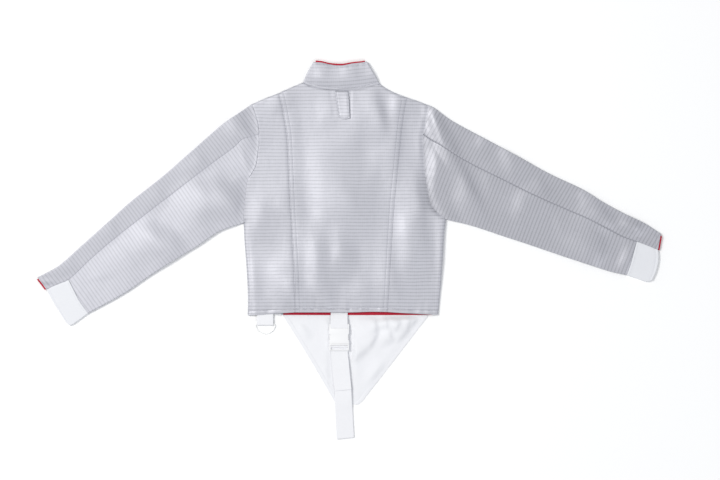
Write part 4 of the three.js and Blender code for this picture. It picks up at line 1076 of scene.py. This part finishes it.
def ribbon(node, path, wide, place, lift=None):
    """Webbing of even thickness, woven in ribs; place turns a distance across and a y into a point."""
    curve = through(path)
    long = lengths_along(curve(np.linspace(0, 1, 800)))[-1]
    t = np.linspace(0, 1, round(long / 1.2) + 1)
    line = curve(t)
    way = unit(np.gradient(line, axis=0))
    out = line + np.stack([-way[:, 1], way[:, 0]], 1) * WEB_THICK / 2
    across = np.concatenate([[-0.5, -0.485, -0.46], np.linspace(-0.4, 0.4, 9), [0.46, 0.485, 0.5]]) * wide
    x, y = place(across[None, :], out[:, :1])
    z = out[:, 1:] + (lift(across[None, :], y) if lift else 0 * y)
    grid = np.stack([np.broadcast_to(x, y.shape), y, np.broadcast_to(z, y.shape)], -1)
    uv = np.stack(np.broadcast_arrays(across[None, :], (t * long)[:, None]), -1)
    cloth(node, grid, uv, WEBBING, WEB_THICK, -1)


def upright(centre):
    return lambda across, y: (centre + across, y + 0 * across)


STRAP_X = -24
BAR = dict(y=-175.5, z=6, half_long=5.5, half_thick=1.5)
bar_end = BAR["y"] - BAR["half_long"] + BAR["half_thick"]
turn = BAR["half_thick"] + WEB_THICK / 2 + 0.3
ribbon("strap_upper", [
    (-119, 3.9), (-135, 3.9), (-146, 4.2), (-156, 6.6), (-164, 8.4),
    *arc_path(bar_end, BAR["z"], turn, 90, 270), (-168, BAR["z"] - turn), (-160, BAR["z"] - turn),
], WEB_WIDE, upright(STRAP_X))

STRAP_LEAN = np.array([(-434, -9.5), (-320, -15.5), (-231, -24), (-100, -24)])
STRAP_SKEW = 0.1


def leaning(across, y):
    skew = STRAP_SKEW * across * ease(-y, 240, 300)
    return np.interp(y, STRAP_LEAN[:, 0], STRAP_LEAN[:, 1]) + across, y + skew


def raised_right(across, y):
    """The strap's right edge stands off the panel between the buckle and the panel's tip."""
    return 3.2 * (0.5 + across / WEB_WIDE) * ease(-y, 236, 262) * (1 - ease(-y, 335, 372))


LOOP = dict(y=-432, low=0.7, high=2.9)
LADDER = dict(start=-231, end=-214.9, y1=-222.4, y2=-220, z1=4.7, z2=6.9)
on_panel = THIN + 0.5 + WEB_THICK / 2
above_root = on_panel + WEB_THICK + 0.2
round_bar = WEB_THICK / 2 + 0.25
y1, y2, z2 = LADDER["y1"], LADDER["y2"], LADDER["z2"]
ribbon("crotch_strap", [
    (-326, on_panel), (-345, on_panel), (-356, on_panel), (-372, LOOP["low"] + 0.2), (-400, LOOP["low"]),
    *arc_path(LOOP["y"], 1.8, 1.1, 270, 90, 8), (-400, LOOP["high"]), (-372, LOOP["high"]),
    (-360, above_root), (-340, above_root), (-320, above_root), (-300, on_panel + 0.3), (-280, on_panel),
    (-255, on_panel), (-240, 2.5), (y1, 2.9), (y2 - 0.2, 3.2), (y2 + round_bar, 4.2),
    (y2 + round_bar, z2 - 0.6), (y2 + 0.2, z2 + round_bar), (y1 - 0.2, z2 + round_bar),
    (y1 - 1.1, z2 - 0.3), (y1 - 2.2, 5.4), (-232, 4.9), (-240, 4.6), (-255, 4.1), (-280, 3.9),
    (-300, 4.0), (-312, 4.5), (-322, 5.0),
][::-1], WEB_WIDE, leaning, lift=raised_right)

RING = dict(x=-194, wire=1.35, wide=44, deep=23.6, y=-170.5, z=3.3)
TAB_X = -194.4
ribbon("ring_tab", [
    (-136, 3.7), (-145, 3.7), (-152, 3.4), (-159, 1.4), (-164, 0.75),
    *arc_path(RING["y"], RING["z"], 2.6, 270, 90),
    (-165, 5.8), (-158, 5.3), (-152, 5.2), (-145, 5.2), (-136, 5.2),
][::-1], WEB_WIDE - 1, upright(TAB_X))


# Hard pieces

def box(low, high):
    x1, y1, z1 = low
    x2, y2, z2 = high
    return ([(x1, y1, z1), (x2, y1, z1), (x2, y2, z1), (x1, y2, z1),
             (x1, y1, z2), (x2, y1, z2), (x2, y2, z2), (x1, y2, z2)],
            [(0, 3, 2, 1), (4, 5, 6, 7), (0, 1, 5, 4), (1, 2, 6, 5), (2, 3, 7, 6), (3, 0, 4, 7)])


def moulded(node, body, material, joined, cut, round_by, turned=None):
    """Boxes joined and cut as one piece, with every edge rounded, in place of its CAD node."""
    piece = new_object(node + "_moulded", *box(*joined[0]), material, smooth=False)
    helpers = []
    for shape, operation in [(b, "UNION") for b in joined[1:]] + [(b, "DIFFERENCE") for b in cut]:
        helper = new_object(node + "_helper", *box(*shape), material, smooth=False)
        helpers.append(helper)
        change = piece.modifiers.new("shape", "BOOLEAN")
        change.operation, change.object, change.solver = operation, helper, "EXACT"
    rounding = piece.modifiers.new("rounding", "BEVEL")
    rounding.width, rounding.segments, rounding.limit_method = round_by * MM, 3, "ANGLE"
    made = bpy.data.meshes.new_from_object(piece.evaluated_get(bpy.context.evaluated_depsgraph_get()))
    piece.modifiers.clear()
    piece.data = made
    made.polygons.foreach_set("use_smooth", [True] * len(made.polygons))
    made.set_sharp_from_angle(angle=math.radians(50))
    if turned is not None:
        made.transform(turned)
    for helper in helpers:
        bpy.data.objects.remove(helper)
    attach(piece, body)
    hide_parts(node)


def both_sides(near, far, y, z):
    """The same box to the left and to the right of the strap's middle."""
    spans = [(STRAP_X - far, STRAP_X - near), (STRAP_X + near, STRAP_X + far)]
    return [((x1, y[0], z[0]), (x2, y[1], z[1])) for x1, x2 in spans]


LEFT, RIGHT, LOW, HIGH = STRAP_X - 22.5, STRAP_X + 22.5, 1.6, 10.4
FROM, TO = -214.5, -186
moulded("buckle_female", "garment", PLASTIC, [
    ((LEFT, FROM, LOW), (RIGHT, TO, HIGH)),
    ((LEFT, TO - 2, HIGH - 0.9), (RIGHT, TO + 6, HIGH)),
    *both_sides(19.5, 22.5, (-187, BAR["y"] + BAR["half_long"]), (3.5, 8.5)),
    ((LEFT, BAR["y"] - BAR["half_long"], BAR["z"] - BAR["half_thick"]),
     (RIGHT, BAR["y"] + BAR["half_long"], BAR["z"] + BAR["half_thick"])),
], [
    ((LEFT + 3, FROM - 1, LOW + 2), (RIGHT - 3, TO - 4, HIGH - 2)),
    *both_sides(15, 30, (-206, -194), (LOW + 2, HIGH - 2)),
    *both_sides(20.6, 30, (-206.5, -193.5), (LOW - 1, HIGH + 1)),
], 0.4)
moulded("buckle_male", "garment", PLASTIC, [
    ((LEFT, -218.2, 1.8), (RIGHT, LADDER["end"] + 0.2, 9.9)),
    ((LEFT, LADDER["start"], 6.8), (RIGHT, LADDER["start"] + 2.6, 9.6)),
    ((LEFT, y1, LADDER["z1"]), (RIGHT, y2, z2)),
    *both_sides(19.3, 22.5, (LADDER["start"], LADDER["end"]), (1.8, 9.6)),
    ((STRAP_X - 3, LADDER["end"] - 0.5, 4.6), (STRAP_X + 3, -195, 7.4)),
    *both_sides(14, 17.5, (LADDER["end"] - 0.5, -196), (4.4, 7.6)),
    *both_sides(14, 22.3, (-205, -196), (4.4, 7.6)),
], (), 0.35)


def tube(name, path, radius, material):
    """A closed loop of wire."""
    sides = 20
    way = unit(np.roll(path, -1, 0) - np.roll(path, 1, 0))
    side = unit(np.cross(way, [0, 0, 1.0]))
    rise = np.cross(side, way)
    turns = np.linspace(0, 2 * math.pi, sides, endpoint=False)
    verts = (path[:, None] + radius * (side[:, None] * np.cos(turns)[None, :, None]
                                       + rise[:, None] * np.sin(turns)[None, :, None])).reshape(-1, 3)
    count = len(path)
    faces = [(i * sides + j, (i + 1) % count * sides + j, (i + 1) % count * sides + (j + 1) % sides,
              i * sides + (j + 1) % sides) for i in range(count) for j in range(sides)]
    return new_object(name, verts, faces, material)


def make_ring():
    half, deep = RING["wide"] / 2, RING["deep"] - 1.6
    bow = np.radians(np.linspace(-8, -172, 24))
    line = [(x, 0) for x in np.linspace(2.4 - half, half - 2.4, 8)] + [(half - 0.7, -0.7)]
    line += [(half * math.cos(a), deep * math.sin(a)) for a in bow] + [(0.7 - half, -0.7)]
    smooth = through(line + line[:1])(np.linspace(0, 1, 161)[:-1])
    droop = math.asin((RING["z"] - RING["wire"]) / RING["deep"])
    y, z = smooth[:, 1] * math.cos(droop), smooth[:, 1] * math.sin(droop)
    path = np.stack([smooth[:, 0] + RING["x"], y + RING["y"], z + RING["z"]], -1)
    ring = tube("d_ring_wire", path, RING["wire"], SATIN)
    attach(ring, "d_ring")
    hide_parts("d_ring")


make_ring()


# Zip: tapes, teeth, slider and pull, made along Y and turned to the zip's line

zip_turn = Matrix.Translation((ZIP["x"] * MM, ZIP["y"] * MM, 0)) @ Matrix.Rotation(-ZIP["lean"], 4, "Z")
slider_at = ZIP["slider"]


def zip_rise(y):
    return ZIP["lift"] * ease(y, slider_at - 90, slider_at - 40)


def on_zip(x, y, z):
    """Points beside and along the zip, turned to its line."""
    c, s = math.cos(ZIP["lean"]), math.sin(ZIP["lean"])
    return np.stack([ZIP["x"] + x * c + y * s, ZIP["y"] - x * s + y * c, z], -1)


TOOTH = dict(pitch=1.5, aside=0.9, half=(1.6, 0.55, 0.85))


def make_zip():
    across = np.array([-12, -11.4, -10, -6, -3, -1, 0, 1, 3, 6, 10, 11.4, 12.0])[:, None]
    along = np.linspace(0, slider_at + 2.5, 110)[None, :]
    x, y = np.broadcast_arrays(across, along)
    grid = on_zip(x, y, WALL + 0.9 + zip_rise(y))
    uv = np.stack([x, y], -1)
    cloth("front_zip", grid, uv, WEBBING, THIN - 0.1)
    verts = []
    corners, sides = box((-1, -1, -1), (1, 1, 1))
    for k, at in enumerate(np.arange(TOOTH["pitch"], slider_at - 2, TOOTH["pitch"])):
        aside = TOOTH["aside"] if k % 2 else -TOOTH["aside"]
        middle = np.array([aside, at, WALL + 0.3 + float(zip_rise(at))])
        block = middle + np.array(corners) * TOOTH["half"]
        verts.append(on_zip(*block.T))
    faces = repeated(sides, len(verts), len(corners))
    teeth = new_object("zip_teeth", np.vstack(verts), faces, PLASTIC, smooth=False)
    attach(teeth, "garment")


make_zip()
low, high = 3.0, 5.6
slider_part = lambda z: ((-5, slider_at - 6, z), (5, slider_at + 6, z + 0.8))
moulded("zip_slider", "garment", STEEL, [
    slider_part(low - 0.8), slider_part(high),
    ((-2, slider_at + 3.5, low - 0.1), (2, slider_at + 6, high + 0.1)),
    ((-1.2, slider_at - 4.4, 0.1), (1.2, slider_at - 3.4, low - 0.1)),
    ((-1.2, slider_at - 0.2, 0.1), (1.2, slider_at + 0.8, low - 0.1)),
    ((-1.2, slider_at - 4.4, 0.1), (1.2, slider_at + 0.8, 0.7)),
], (), 0.25, zip_turn)
pull_y, pull_z = slider_at - 1.8, 1.5
moulded("zip_pull", "zip_pull", STEEL, [
    ((-3, pull_y - 22, pull_z - 0.45), (3, pull_y + 0.4, pull_z + 0.45)),
], [
    ((-1.7, pull_y - 4.5, -1), (1.7, pull_y - 0.45, 4)),
    ((-1.2, pull_y - 19.5, -1), (1.2, pull_y - 13, 4)),
], 0.3, zip_turn)


# Floor, light and camera

def area_light(name, place, aim, size, power, colour=(1, 1, 1)):
    data = bpy.data.lights.new(name, "AREA")
    data.shape, data.size, data.energy, data.color = "DISK", size, power, colour
    lamp = bpy.data.objects.new(name, data)
    lamp.location = place
    lamp.rotation_euler = (Vector(aim) - Vector(place)).to_track_quat("-Z", "Y").to_euler()
    bpy.context.scene.collection.objects.link(lamp)


def make_studio():
    half, z = 4000, -0.4
    white = Nodes("floor").finish(base=(1.0, 1.0, 1.0), rough=0.9, spec=0.2)
    corners = [(-half, -half, z), (half, -half, z), (half, half, z), (-half, half, z)]
    new_object("floor", corners, [(0, 1, 2, 3)], white)
    world = bpy.data.worlds.new("studio")
    world.use_nodes = True
    colour, strength = world.node_tree.nodes["Background"].inputs[:2]
    colour.default_value = (0.93, 0.955, 1, 1)
    strength.default_value = 0.54
    bpy.context.scene.world = world
    bpy.context.scene.view_settings.view_transform = "Standard"
    area_light("key", (-3.0, 1.4, 4.7), (0, 0, 0), 2.2, 182, (1.0, 0.985, 0.95))
    area_light("fill", (2.6, -2.2, 4.2), (0.3, -0.3, 0), 2.4, 42)


PHOTO_PIXEL = 2.3       # millimetres in one pixel of the photo
PHOTO_WIDE, PHOTO_TALL = 720, 480
ORIGIN_COLUMN, ORIGIN_ROW = 349.65, 249.95      # where the photo shows the frame's origin
CAMERA_HEIGHT = 5.2
make_studio()
camera_data = bpy.data.cameras.new("camera")
camera_data.sensor_width = 36
camera_data.lens = camera_data.sensor_width * CAMERA_HEIGHT / (PHOTO_WIDE * PHOTO_PIXEL * MM)
camera_data.clip_end = 50
camera = bpy.data.objects.new("camera", camera_data)
camera.location = ((PHOTO_WIDE / 2 - ORIGIN_COLUMN) * PHOTO_PIXEL * MM,
                   (ORIGIN_ROW - PHOTO_TALL / 2) * PHOTO_PIXEL * MM, CAMERA_HEIGHT)
bpy.context.scene.collection.objects.link(camera)
bpy.context.scene.camera = camera

make_stitches("stitching_grey", "grey", GREY_THREAD)
make_stitches("stitching_white", "white", WHITE_THREAD)
